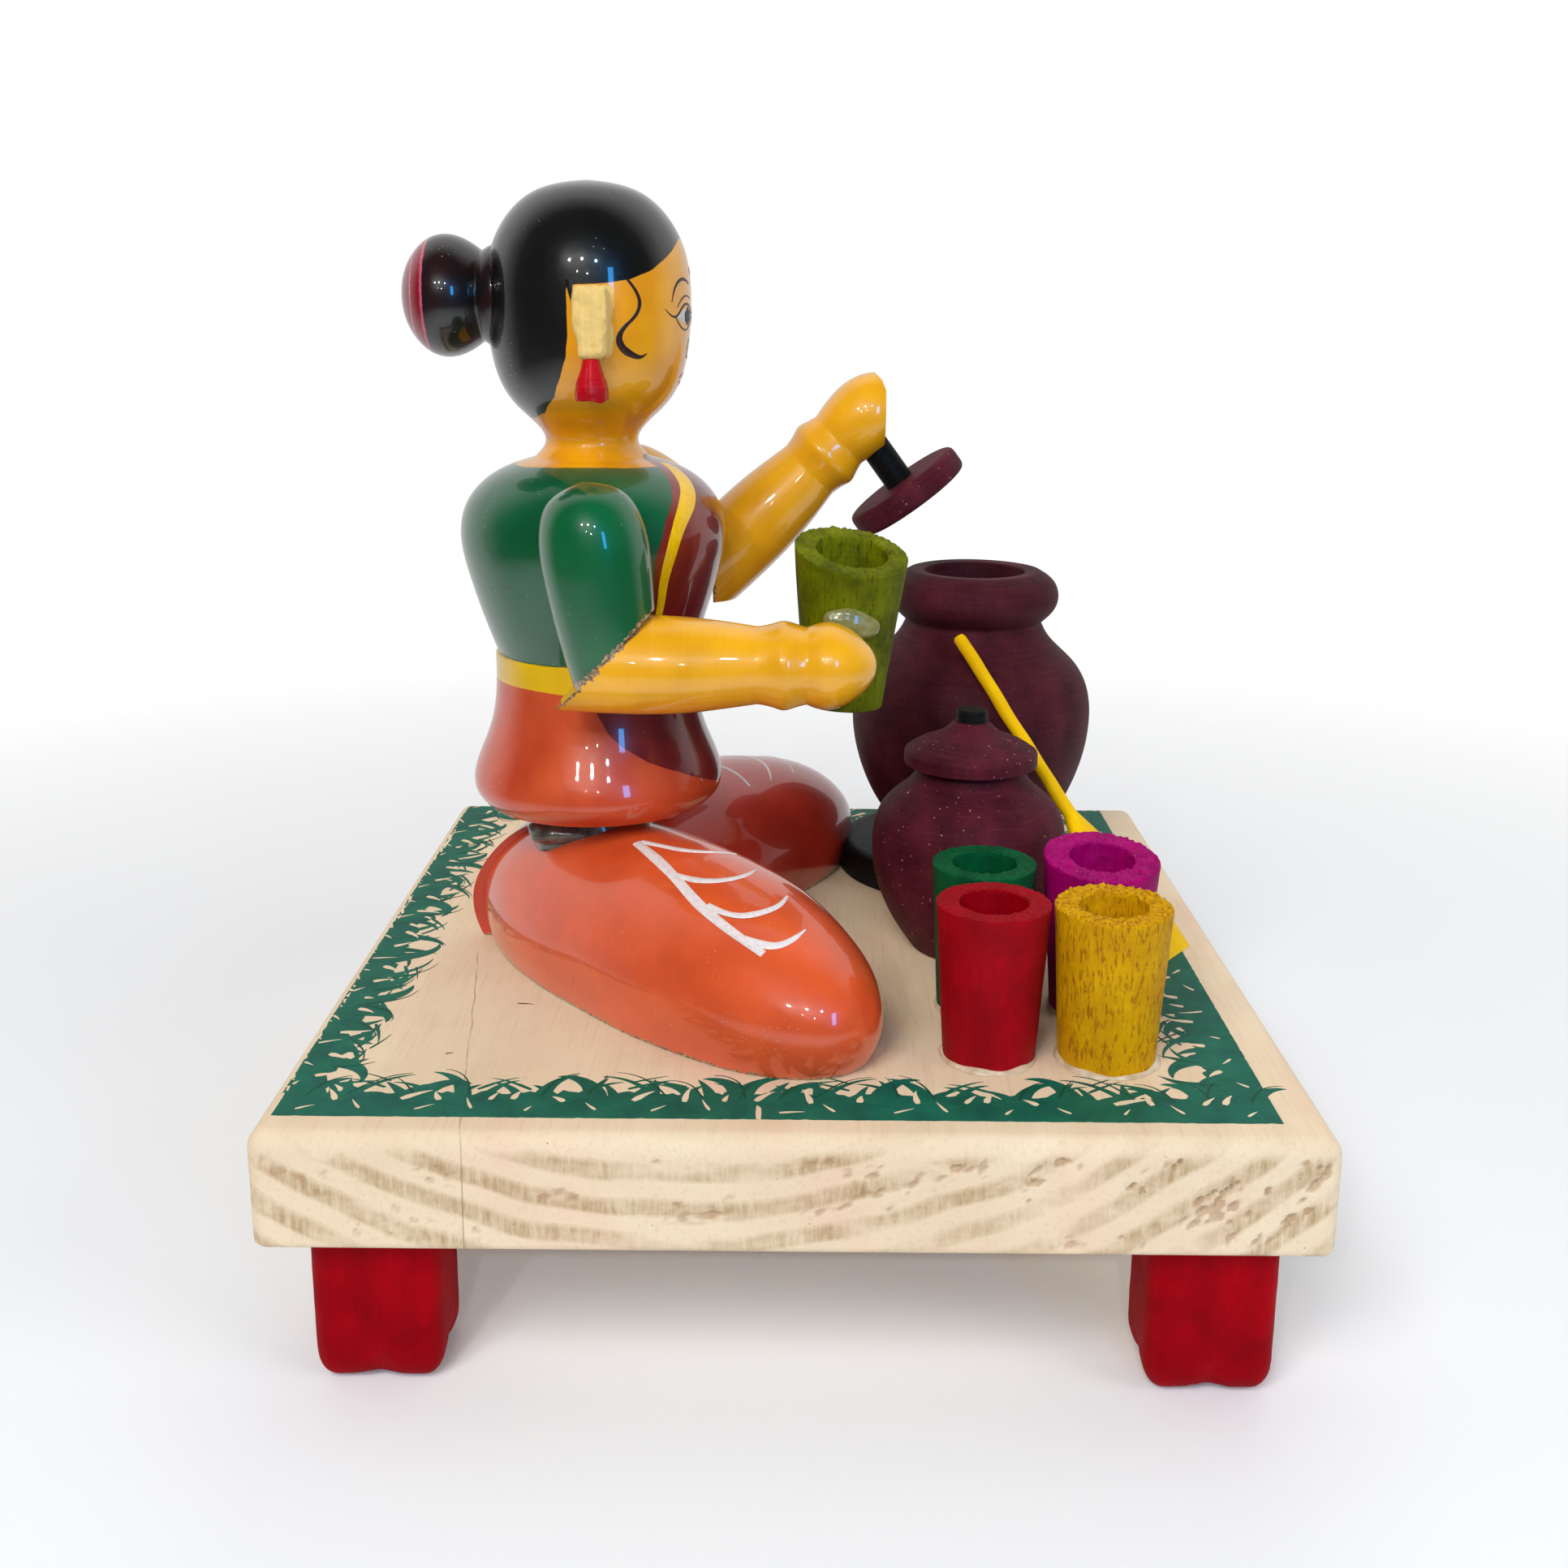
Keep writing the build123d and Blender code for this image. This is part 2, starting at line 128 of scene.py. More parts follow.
def turned(segments, around=160, step=0.6, wobble=0.0, seed=0.0):
    """A blank turned about Z, very slightly out of true by wobble millimetres."""
    angles = np.linspace(0, 2 * pi, around, endpoint=False)
    rings = []
    for r, h in outline(segments, step):
        out = 1.0
        if wobble and r > 0.01:
            out = 1 + wobble / max(r, 2) * np.array([
                bump(cos(a) * 1.3 + seed, sin(a) * 1.3, h * 0.07) for a in angles])
        rings.append(np.stack([r * out * np.cos(angles), r * out * np.sin(angles), np.full(around, h)],
                              axis=1))
    return loft(rings)


def stations(half, radius, spacing):
    """Places along one side of a block, closer together in its rounded ends."""
    ends = radius * (1 - np.array([0, 0.12, 0.3, 0.5, 0.75]))
    inner = half - radius
    middle = np.linspace(-inner, inner, max(2, int(2 * inner / spacing) + 1))
    return np.concatenate([-inner - ends, middle, inner + ends[::-1]])


def block(size, radii, spacing):
    """A rounded block centred on the origin. radii are those of the upright, upper and lower edges."""
    half = np.array(size) / 2
    side, upper, lower = radii
    xs = stations(half[0], side, spacing[0])
    ys = stations(half[1], side, spacing[1])
    zs = stations(half[2], max(upper, lower), spacing[2])
    index, verts, faces = {}, [], []

    def corner(i, j, k):
        if (i, j, k) not in index:
            index[i, j, k] = len(verts)
            verts.append((xs[i], ys[j], zs[k]))
        return index[i, j, k]

    nx, ny, nz = len(xs) - 1, len(ys) - 1, len(zs) - 1
    for k in (0, nz):
        for i in range(nx):
            for j in range(ny):
                faces.append((corner(i, j, k), corner(i + 1, j, k), corner(i + 1, j + 1, k),
                              corner(i, j + 1, k)))
    for j in (0, ny):
        for i in range(nx):
            for k in range(nz):
                faces.append((corner(i, j, k), corner(i + 1, j, k), corner(i + 1, j, k + 1),
                              corner(i, j, k + 1)))
    for i in (0, nx):
        for j in range(ny):
            for k in range(nz):
                faces.append((corner(i, j, k), corner(i, j + 1, k), corner(i, j + 1, k + 1),
                              corner(i, j, k + 1)))
    p = np.array(verts, float)
    up = np.where(p[:, 2] > 0, upper, lower)
    r = np.stack([np.full(len(p), side), np.full(len(p), side), up], axis=1)
    out = np.maximum(0, np.abs(p) - (half - r)) / r
    length = np.linalg.norm(out, axis=1)
    inside = (half - r) + r * out / np.maximum(length, 1e-9)[:, None]
    p = np.where(out > 0, np.sign(p) * inside, p)
    return p, faces


def shaken(verts, amount, size, seed=0.0):
    """The points moved by up to amount millimetres, in bumps about size millimetres across."""
    push = [noise.noise_vector(Vector(v) / size + Vector((seed, seed, 0))) for v in verts]
    return verts + amount * np.array(push)


def moved(matrix, verts):
    m = np.array(matrix)
    return verts @ m[:3, :3].T + m[:3, 3]


def at(x, y, z, turn=(0, 0, 0)):
    """A place and a turn about X, then Y, then Z in degrees."""
    rx, ry, rz = (radians(a) for a in turn)
    turned_by = Matrix.Rotation(rx, 4, "X") @ Matrix.Rotation(ry, 4, "Y") @ Matrix.Rotation(rz, 4, "Z")
    return Matrix.Translation((x, y, z)) @ turned_by


def placed(name, data):
    made = bpy.data.objects.new(name, data)
    bpy.context.scene.collection.objects.link(made)
    return made


def axes(across, through, along):
    """The turn that takes X, Y and Z to these directions."""
    return Matrix((across, through, along)).transposed().to_4x4()


def piece(name, shape, place, material, body, stands_for=(), cuts=(), fields=None, crease=38):
    """Make one piece. cuts are (point, direction): what lies on the direction's side of the point goes."""
    verts, faces = shape
    mesh = bpy.data.meshes.new(name)
    mesh.from_pydata((moved(place, verts) * MM).tolist(), [], faces)
    local = mesh.attributes.new("local", "FLOAT_VECTOR", "POINT")
    local.data.foreach_set("vector", verts.astype(np.float32).ravel())
    for key, values in (fields or {}).items():
        field = mesh.attributes.new(key, "FLOAT", "POINT")
        field.data.foreach_set("value", np.asarray(values, np.float32))
    work = bmesh.new()
    work.from_mesh(mesh)
    for point, direction in cuts:
        everything = work.verts[:] + work.edges[:] + work.faces[:]
        bmesh.ops.bisect_plane(work, geom=everything, plane_co=Vector(point) * MM, plane_no=direction,
                               clear_outer=True)
        rim = [e for e in work.edges if e.is_boundary]
        filled = bmesh.ops.holes_fill(work, edges=rim, sides=0)["faces"]
        bmesh.ops.triangulate(work, faces=filled)
    bmesh.ops.remove_doubles(work, verts=work.verts[:], dist=1e-8)
    bmesh.ops.recalc_face_normals(work, faces=work.faces[:])
    work.to_mesh(mesh)
    work.free()
    mesh.shade_smooth()
    mesh.set_sharp_from_angle(angle=radians(crease))
    mesh.materials.append(material)
    made = placed(name, mesh)
    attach(made, body)
    if stands_for:
        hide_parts(*stands_for)


def lathe(name, segments, place, material, body, around, step, wobble, seed):
    """A turned piece that stands for the CAD node of that name."""
    shape = turned(segments, around, step, wobble, seed)
    piece(name + "_shape", shape, place, material, body, (name,))


class Skin:
    """The surface of a turned blank, by angle in degrees and height, for painting on."""

    def __init__(self, segments):
        run = outline(segments, 0.2, ease=0.0)
        order = np.argsort(run[:, 1], kind="stable")
        self.h = run[order, 1]
        self.r = run[order, 0]

    def slope(self, h):
        return float(np.interp(h + 0.4, self.h, self.r) - np.interp(h - 0.4, self.h, self.r)) / 0.8

    def point(self, angle, h, lift):
        r = float(np.interp(h, self.h, self.r))
        s = self.slope(h)
        n = hypot(1, s)
        a = radians(angle)
        out = r + lift / n
        return np.array((out * cos(a), out * sin(a), h - lift * s / n))

    def stroke(self, points, widths, lift=0.09):
        """A brush stroke: a low ridge of paint along points of (angle, height), its width given along it."""
        scaled = [(angle * 0.28, h) for angle, h in points]
        length = np.linalg.norm(np.diff(np.array(scaled), axis=0), axis=1).sum()
        steps = max(8, int(length / 0.3))
        path = smooth(scaled, steps)
        width = np.interp(np.linspace(0, 1, steps), np.linspace(0, 1, len(widths)), widths)
        rings = []
        for i, (a, h) in enumerate(path):
            before, after = path[max(0, i - 1)], path[min(steps - 1, i + 1)]
            r = max(1.0, float(np.interp(h, self.h, self.r)))
            up = hypot(1, self.slope(h))
            along = np.array(((after[0] - before[0]) / 0.28 * radians(1) * r, (after[1] - before[1]) * up))
            along /= max(np.linalg.norm(along), 1e-9)
            ring = []
            for e, rise in ((-1, -0.05), (-0.75, 0.7), (0, 1), (0.75, 0.7), (1, -0.05), (0, -0.6)):
                du, dv = -along[1] * e * width[i] / 2, along[0] * e * width[i] / 2
                height = rise * lift if rise > 0 else rise
                ring.append(self.point(a / 0.28 + degrees(du / r), h + dv / up, height))
            rings.append(np.array(ring))
        return loft(rings)


def joined(shapes):
    """Several shapes as one."""
    verts, faces = [], []
    for v, f in shapes:
        first = sum(len(x) for x in verts)
        verts.append(v)
        faces.extend(tuple(k + first for k in face) for face in f)
    return np.concatenate(verts), faces


def inside(polygon, points):
    """Distance in millimetres into a polygon; negative outside it."""
    p = np.array(polygon, float)
    best = np.full(len(points), 1e9)
    odd = np.zeros(len(points), bool)
    for a, b in zip(p, np.roll(p, -1, axis=0)):
        d = b - a
        t = np.clip(((points - a) @ d) / max(d @ d, 1e-9), 0, 1)
        best = np.minimum(best, np.linalg.norm(points - a - t[:, None] * d, axis=1))
        crosses = (a[1] > points[:, 1]) != (b[1] > points[:, 1])
        where = a[0] + (points[:, 1] - a[1]) * d[0] / (d[1] if abs(d[1]) > 1e-9 else 1e-9)
        odd ^= crosses & (points[:, 0] < where)
    return np.where(odd, best, -best)


# Materials

def tint(red, green, blue):
    """A linear colour from everyday 0 to 255 values."""
    c = np.array((red, green, blue)) / 255
    linear = np.where(c > 0.04045, ((c + 0.055) / 1.055) ** 2.4, c / 12.92)
    return (float(linear[0]), float(linear[1]), float(linear[2]), 1.0)


class Finish:
    """A material round one Principled shader. Its textures follow the attribute local, in millimetres."""

    def __init__(self, name, roughness, coat=0.0, coat_roughness=0.1, specular=0.5, own=False):
        self.material = bpy.data.materials.new(name)
        self.material.use_nodes = True
        self.tree = self.material.node_tree
        self.shader = self.tree.nodes["Principled BSDF"]
        self.put("Roughness", roughness)
        self.put("Coat Weight", coat)
        self.put("Coat Roughness", coat_roughness)
        self.put("Specular IOR Level", specular)
        self.local = self.field("local", "Vector")
        if own:
            place = self.tree.nodes.new("ShaderNodeTexCoord").outputs["Object"]
            self.local = self.node("ShaderNodeMapping", Vector=place, Scale=(1000, 1000, 1000)).outputs[0]

    def put(self, name, value):
        self.wire(self.shader.inputs[name], value)

    def wire(self, socket, value):
        if isinstance(value, bpy.types.NodeSocket):
            self.tree.links.new(value, socket)
        else:
            socket.default_value = value

    def node(self, kind, **inputs):
        made = self.tree.nodes.new(kind)
        for name, value in inputs.items():
            self.wire(made.inputs[name.replace("_", " ")], value)
        return made

    def field(self, name, output="Fac"):
        made = self.tree.nodes.new("ShaderNodeAttribute")
        made.attribute_name = name
        return made.outputs[output]

    def stretched(self, scale):
        """The local place, scaled along each axis."""
        if isinstance(scale, float):
            scale = (scale, scale, scale)
        return self.node("ShaderNodeMapping", Vector=self.local, Scale=scale).outputs[0]

    def grain(self, scale, detail=3.0, roughness=0.55):
        """Noise from 0 to 1 of that many features per millimetre, alike every way or given for each axis."""
        made = self.node("ShaderNodeTexNoise", Vector=self.stretched(scale), Scale=1.0, Detail=detail,
                         Roughness=roughness, Distortion=0.0)
        return made.outputs[0]

    def cells(self, scale):
        made = self.node("ShaderNodeTexVoronoi", Vector=self.stretched(scale), Scale=1.0)
        return made.outputs["Distance"]

    def sums(self, operation, a, b=0.0):
        made = self.tree.nodes.new("ShaderNodeMath")
        made.operation = operation
        self.wire(made.inputs[0], a)
        self.wire(made.inputs[1], b)
        return made.outputs[0]

    def times(self, a, b):
        return self.sums("MULTIPLY", a, b)

    def plus(self, a, b):
        return self.sums("ADD", a, b)

    def over(self, colour, amount, share, paint):
        """The colour with a 0 to 255 paint over it, as strongly as amount says, times share."""
        return self.blend(self.times(amount, share), colour, tint(*paint))

    def rough(self, field, share, base):
        self.put("Roughness", self.plus(self.times(field, share), base))

    def step(self, value, low, high):
        """0 below low, 1 above high, and a straight ramp between."""
        return self.node("ShaderNodeMapRange", Value=value, From_Min=low, From_Max=high).outputs[0]

    def blend(self, amount, a, b, kind="MIX"):
        made = self.tree.nodes.new("ShaderNodeMix")
        made.data_type = "RGBA"
        made.blend_type = kind
        made.clamp_factor = True
        self.wire(made.inputs[0], amount)
        self.wire(made.inputs[6], a)
        self.wire(made.inputs[7], b)
        return made.outputs[2]

    def relief(self, *layers):
        """Bumps as (height socket, depth in millimetres), one over the other."""
        normal = None
        for height, depth in layers:
            made = self.node("ShaderNodeBump", Height=height, Distance=depth * MM, Strength=1.0)
            if normal is not None:
                self.tree.links.new(normal, made.inputs["Normal"])
            normal = made.outputs[0]
        self.put("Normal", normal)


def lac_over(finish, colour, dust=0.55):
    """Brushed and friction-melted lac: faint cloudiness, turning lines, dust under the gloss, ripples."""
    cloud = finish.grain(0.09, 2.0)
    lines = finish.grain((0.06, 0.06, 2.6), 2.0)
    deeper = finish.blend(1.0, colour, (0.80, 0.74, 0.72, 1), "MULTIPLY")
    colour = finish.blend(finish.step(cloud, 0.30, 0.72), deeper, colour)
    darker = finish.blend(1.0, colour, (0.975, 0.97, 0.97, 1), "MULTIPLY")
    colour = finish.blend(finish.step(lines, 0.42, 0.68), colour, darker)
    speck = finish.sums("LESS_THAN", finish.cells(0.9), 0.075)
    rare = finish.sums("GREATER_THAN", finish.grain(0.11, 1.0), dust)
    dusty = finish.times(speck, rare)
    colour = finish.over(colour, dusty, 0.55, (225, 215, 190))
    finish.put("Base Color", colour)
    finish.rough(cloud, 0.16, 0.24)
    ripple = finish.grain(0.16, 2.0)
    pitted = finish.grain(1.1, 3.0)
    finish.relief((ripple, 0.16), (lines, 0.005), (pitted, 0.010), (dusty, 0.05))
    return finish.material


def matte(name, base, low, high, chip=None, chips=0.0, fibre=0.10, rings=0.05, roughness=0.62, gloss=0.14,
          worn=False, flecks=0.6):
    """Water paint brushed on turned wood. Streaks follow the fibres along Z and rings follow the tool. The
    paint is chipped as chips says, or with worn, rubbed thin along the fibres. flecks is how strong its
    dust is."""
    finish = Finish(name, roughness, specular=gloss)
    streak = finish.grain((1.5, 1.5, 0.10), 4.0, 0.65)
    ring = finish.grain((0.10, 0.10, 2.1), 3.0, 0.6)
    patch = finish.grain((0.16, 0.16, 0.12), 3.0)
    fine = finish.grain((3.2, 3.2, 2.4), 2.0)
    colour = finish.blend(finish.step(patch, 0.30, 0.70), tint(*low), tint(*base))
    colour = finish.blend(finish.times(finish.step(streak, 0.46, 0.74), 0.55), colour, tint(*low))
    colour = finish.blend(finish.times(finish.step(ring, 0.50, 0.76), min(0.45, rings * 6)), colour,
                          tint(*high))
    layers = [(streak, fibre), (ring, rings), (fine, 0.03)]
    if chip:
        flake = finish.grain((1.7, 1.7, 0.42) if worn else (0.85, 0.85, 0.85), 4.0, 0.7)
        gone = finish.step(flake, 0.80 - chips, (0.90 if worn else 0.815) - chips)
        colour = finish.blend(gone, colour, tint(*chip))
        speck = finish.sums("LESS_THAN", finish.cells(0.8), 0.11)
        rare = finish.step(finish.grain(0.3, 2.0), 0.50, 0.56)
        dust = finish.times(speck, rare)
        colour = finish.blend(finish.times(dust, flecks), colour, tint(*chip))
        layers.append((gone, -0.06))
    finish.put("Base Color", colour)
    finish.rough(fine, 0.22, roughness - 0.11)
    finish.relief(*layers)
    return finish.material


def wood_finish(name, base, dark, roughness=0.6, own=False):
    """Bare sanded wood with its fibres along Z. own is for a CAD node, which has only its object's place."""
    finish = Finish(name, roughness, specular=0.3, own=own)
    fibre = finish.grain((1.3, 1.3, 0.10), 5.0, 0.6)
    pore = finish.grain((4.0, 4.0, 0.8), 2.0)
    colour = finish.blend(finish.step(fibre, 0.38, 0.72), tint(*base), tint(*dark))
    colour = finish.blend(finish.times(finish.step(pore, 0.60, 0.72), 0.35), colour, tint(*dark))
    finish.put("Base Color", colour)
    finish.rough(pore, 0.2, roughness - 0.1)
    finish.relief((fibre, 0.06), (pore, 0.04))
    return finish.material


def brushed(name, colour, shade, roughness=0.3, coat=0.6):
    """A brush stroke's own paint: hair lines along it, thin here and thick there."""
    finish = Finish(name, roughness, coat=coat, coat_roughness=0.12)
    hairs = finish.grain((2.6, 2.6, 0.9), 3.0)
    mixed = finish.blend(finish.step(hairs, 0.40, 0.70), tint(*colour), tint(*shade))
    finish.put("Base Color", mixed)
    finish.rough(hairs, 0.2, roughness - 0.1)
    finish.relief((hairs, 0.02))
    return finish.material


def glue_finish(name, pale, deep):
    """Set glue: milky, glossy, with bubbles and dust in it."""
    finish = Finish(name, 0.22, coat=0.8, coat_roughness=0.08)
    milk = finish.grain(0.5, 3.0)
    bubble = finish.step(finish.cells(1.6), 0.10, 0.16)
    colour = finish.blend(finish.step(milk, 0.3, 0.7), tint(*deep), tint(*pale))
    colour = finish.blend(bubble, tint(*deep), colour)
    finish.put("Base Color", colour)
    finish.rough(milk, 0.2, 0.12)
    finish.relief((milk, 0.15), (bubble, 0.03))
    return finish.material


def edged_lac(name, red, green, blue):
    """Lac whose sawn edge, where the attribute seam falls to nothing, has chipped back to dirty wood."""
    finish = Finish(name, 0.3, coat=1.0, coat_roughness=0.045)
    ragged = finish.grain(0.9, 4.0, 0.7)
    depth = finish.sums("SUBTRACT", finish.field("seam"), finish.times(finish.step(ragged, 0.35, 0.8), 1.1))
    gone = finish.step(depth, 0.10, 0.02)
    wood = finish.blend(finish.step(finish.grain(2.2, 2.0), 0.4, 0.6), tint(96, 66, 40), tint(206, 172, 122))
    return lac_over(finish, finish.blend(gone, tint(red, green, blue), wood))


def figure_finish():
    """Skin, blouse, sari and hair as bands and patches of lac on one turned blank. The sari's lobe on the
    lap, under her right forearm, is partly the pallu and partly painted shade from the forearm.
    """
    finish = Finish("figure_lac", 0.3, coat=1.0, coat_roughness=0.04)
    edge = finish.times(finish.sums("SUBTRACT", finish.grain(0.5, 2.0), 0.5), 0.25)

    def over(colour, name, paint, soft=0.05):
        amount = finish.step(finish.plus(finish.field(name), edge), -soft, soft)
        return finish.blend(amount, colour, paint)

    warm = finish.grain((0.10, 0.10, 0.06), 2.0)
    skin = finish.blend(finish.step(warm, 0.35, 0.7), tint(255, 180, 14), tint(246, 162, 14))
    skirt = finish.blend(finish.step(warm, 0.3, 0.7), tint(222, 92, 46), tint(205, 68, 34))
    sari = finish.blend(finish.step(finish.grain((0.12, 0.12, 0.05), 2.0), 0.35, 0.65), tint(140, 38, 26),
                        tint(112, 14, 22))
    colour = over(skin, "skirt", skirt)
    colour = over(colour, "belt", tint(246, 200, 4))
    colour = over(colour, "blouse", tint(0, 92, 52))
    # The sari patch holds painted shade where it lies on the lap under the forearm.
    colour = over(colour, "sari", sari)
    colour = over(colour, "hair", tint(11, 11, 10))
    return lac_over(finish, colour, dust=0.58)


def bun_finish():
    """Black lac with the coloured rings of the bun's flower at its end."""
    finish = Finish("bun_lac", 0.3, coat=1.0, coat_roughness=0.045)
    split = finish.node("ShaderNodeSeparateXYZ", Vector=finish.local)
    ragged = finish.times(finish.sums("SUBTRACT", finish.grain(1.6, 3.0), 0.5), 0.4)
    along = finish.plus(split.outputs[2], ragged)
    warm = finish.step(finish.grain(0.14, 2.0), 0.4, 0.7)
    colour = finish.blend(warm, tint(11, 10, 10), tint(40, 12, 15))
    for height, paint in ((25.6, tint(214, 92, 120)), (26.05, tint(150, 8, 34)), (27.8, tint(224, 130, 140)),
                          (28.05, tint(150, 20, 40))):
        colour = finish.blend(finish.step(along, height - 0.06, height + 0.06), colour, paint)
    return lac_over(finish, colour)


def pine_finish():
    """The board: growth rings on its ends, long faint figure on its faces, stains, cracks and torn fibres,
    whose pits are painted darker as painted shade.
    """
    finish = Finish("pine", 0.62, specular=0.15)
    split = finish.node("ShaderNodeSeparateXYZ", Vector=finish.local)
    x, y, z = split.outputs
    bend = finish.grain((0.035, 0.012, 0.035), 2.0)
    dx = finish.plus(x, 15.0)
    dz = finish.sums("SUBTRACT", z, 128.0)
    apart = finish.sums("SQRT", finish.plus(finish.times(dx, dx), finish.times(dz, dz)))
    bent = finish.plus(apart, finish.times(bend, 5.0))
    wave = finish.sums("FRACT", finish.sums("DIVIDE", bent, 5.6))
    band = finish.times(finish.step(wave, 0.38, 0.58), finish.step(wave, 1.0, 0.88))
    sawn = finish.grain((0.95, 0.5, 0.16), 5.0, 0.75)
    band = finish.times(band, finish.step(sawn, 0.22, 0.62))
    patchy = finish.grain((0.07, 0.07, 0.16), 3.0, 0.6)
    band = finish.times(band, finish.step(patchy, 0.32, 0.56))
    on_end = finish.field("end")
    strong = finish.plus(finish.times(on_end, 0.72), 0.12)
    cream = finish.blend(finish.step(finish.grain(0.03, 3.0), 0.35, 0.7), tint(240, 218, 184),
                         tint(230, 204, 170))
    pink = finish.step(finish.grain((0.045, 0.02, 0.045), 3.0, 0.6), 0.54, 0.70)
    cream = finish.over(cream, pink, 0.32, (236, 182, 158))
    colour = finish.blend(finish.times(band, strong), cream, tint(172, 140, 96))
    fibre = finish.grain((1.6, 0.06, 1.6), 4.0, 0.6)
    colour = finish.blend(finish.times(finish.step(fibre, 0.52, 0.76), 0.22), colour, tint(186, 150, 110))
    # The pits of torn fibres are painted darker: painted shade in these recesses.
    torn = finish.step(finish.field("pit"), 0.02, 0.22)
    colour = finish.over(colour, torn, 0.5, (160, 120, 78))
    crack_at = finish.plus(x, finish.times(y, 0.148))
    crack_at = finish.plus(crack_at, finish.times(finish.grain((0.02, 0.12, 0.02), 3.0), 1.2))
    split_line = finish.sums("ABSOLUTE", finish.plus(crack_at, 56.7))
    crack = finish.step(split_line, 0.12, 0.04)
    crack = finish.times(crack, finish.step(y, -8.0, -14.0))
    crack = finish.times(crack, finish.step(finish.grain((0.05, 0.25, 0.05), 3.0), 0.30, 0.60))
    colour = finish.over(colour, crack, 0.6, (150, 116, 86))
    dirt = finish.sums("LESS_THAN", finish.cells((0.35, 0.16, 0.35)), 0.035)
    rare = finish.step(finish.grain(0.06, 2.0), 0.50, 0.54)
    specks = finish.times(dirt, rare)
    colour = finish.over(colour, specks, 0.8, (70, 56, 44))
    finish.put("Base Color", colour)
    finish.rough(fibre, 0.3, 0.38)
    finish.relief((fibre, 0.05), (sawn, 0.05), (crack, -0.08))
    return finish.material


PINE = pine_finish()
PRINT = matte("grass_print", (22, 108, 84), (10, 84, 68), (56, 138, 112), fibre=0.03, rings=0.02,
              roughness=0.5)
PRINT_EDGE = matte("grass_print_edge", (24, 84, 60), (16, 66, 48), (40, 108, 80), fibre=0.03, rings=0.02,
                   roughness=0.55)
FOOT = matte("foot_paint", (162, 0, 14), (130, 0, 10), (170, 4, 20), (104, 0, 8), 0.02, fibre=0.05, rings=0.0,
             roughness=0.6, gloss=0.05)
GLUE = glue_finish("set_glue", (226, 206, 176), (190, 160, 128))
CLEAR_GLUE = glue_finish("clear_glue", (142, 138, 84), (112, 110, 48))
# The seat glue's dark grey is painted shade, for the dark gap under the hips where it sits.
GLUE_IN_PAINTED_SHADE = glue_finish("seat_glue_painted_shade", (112, 104, 92), (52, 44, 38))
FIGURE = figure_finish()
BUN = bun_finish()
SKIN = edged_lac("forearm_lac", 255, 184, 20)
GREEN = edged_lac("sleeve_lac", 0, 100, 54)
NEAR_LEG = edged_lac("near_leg_lac", 232, 92, 44)
# The far leg has the near leg's orange lac, darkened here as painted shade from the torso and the near leg.
FAR_LEG_PAINTED_SHADE = edged_lac("far_leg_lac_painted_shade", 200, 56, 36)
EAR = wood_finish("ear_wood", (242, 206, 126), (230, 190, 112), 0.7)
DOWEL = wood_finish("dowel_wood", (214, 184, 132), (170, 132, 84), own=True)
EARRING = matte("earring_paint", (206, 2, 20), (150, 0, 12), (226, 24, 40), roughness=0.34, gloss=0.4)
MAROON = matte("maroon_paint", (84, 32, 40), (56, 18, 26), (100, 44, 52), (180, 130, 126), 0.02, fibre=0.05,
               rings=0.05, roughness=0.6, flecks=0.12)
WORN = matte("worn_maroon_paint", (94, 32, 44), (62, 18, 28), (112, 46, 56), (222, 160, 150), 0.12,
             fibre=0.05,
             rings=0.05)
BLACK = matte("black_paint", (20, 20, 20), (11, 12, 12), (40, 42, 42), (96, 92, 84), 0.03, roughness=0.5,
              flecks=0.3)
OLIVE = matte("olive_paint", (122, 130, 4), (66, 72, 2), (150, 150, 30), (70, 62, 10), 0.22, fibre=0.22,
              rings=0.02,
              roughness=0.66, worn=True, flecks=0.0)
RED = matte("red_paint", (168, 0, 18), (132, 0, 12), (190, 14, 34), (104, 2, 12), 0.02, fibre=0.10,
            rings=0.02,
            flecks=0.3)
YELLOW = matte("yellow_paint", (222, 168, 0), (196, 138, 4), (236, 190, 30), (172, 106, 14), 0.27, fibre=0.22,
               rings=0.03, worn=True, flecks=0.0)
BRIGHT = matte("paddle_paint", (255, 206, 0), (240, 182, 0), (255, 222, 50), fibre=0.06, rings=0.01,
               roughness=0.5)
DARK_GREEN = matte("green_paint", (6, 96, 52), (0, 62, 32), (30, 124, 76), (6, 50, 30), 0.03, fibre=0.1,
                   rings=0.03,
                   flecks=0.2)
MAGENTA = matte("magenta_paint", (178, 0, 112), (136, 0, 80), (204, 30, 140), (236, 130, 200), 0.02,
                fibre=0.12,
                rings=0.02, flecks=0.5)
WHITE_STROKE = brushed("white_stroke", (240, 232, 228), (226, 206, 200))
YELLOW_STROKE = brushed("yellow_stroke", (250, 200, 0), (236, 178, 0))
DARK_STROKE = brushed("dark_stroke", (52, 22, 14), (26, 12, 10), 0.45, 0.2)
HAIR_STROKE = brushed("hair_stroke", (24, 22, 20), (16, 15, 15))
EYE_WHITE = brushed("eye_white", (222, 216, 208), (196, 186, 178), 0.45, 0.2)
IRIS = brushed("iris", (40, 30, 26), (20, 16, 14), 0.5, 0.1)
LIP = brushed("lip_stroke", (190, 10, 24), (150, 4, 18))


# Board, its printed border and its feet

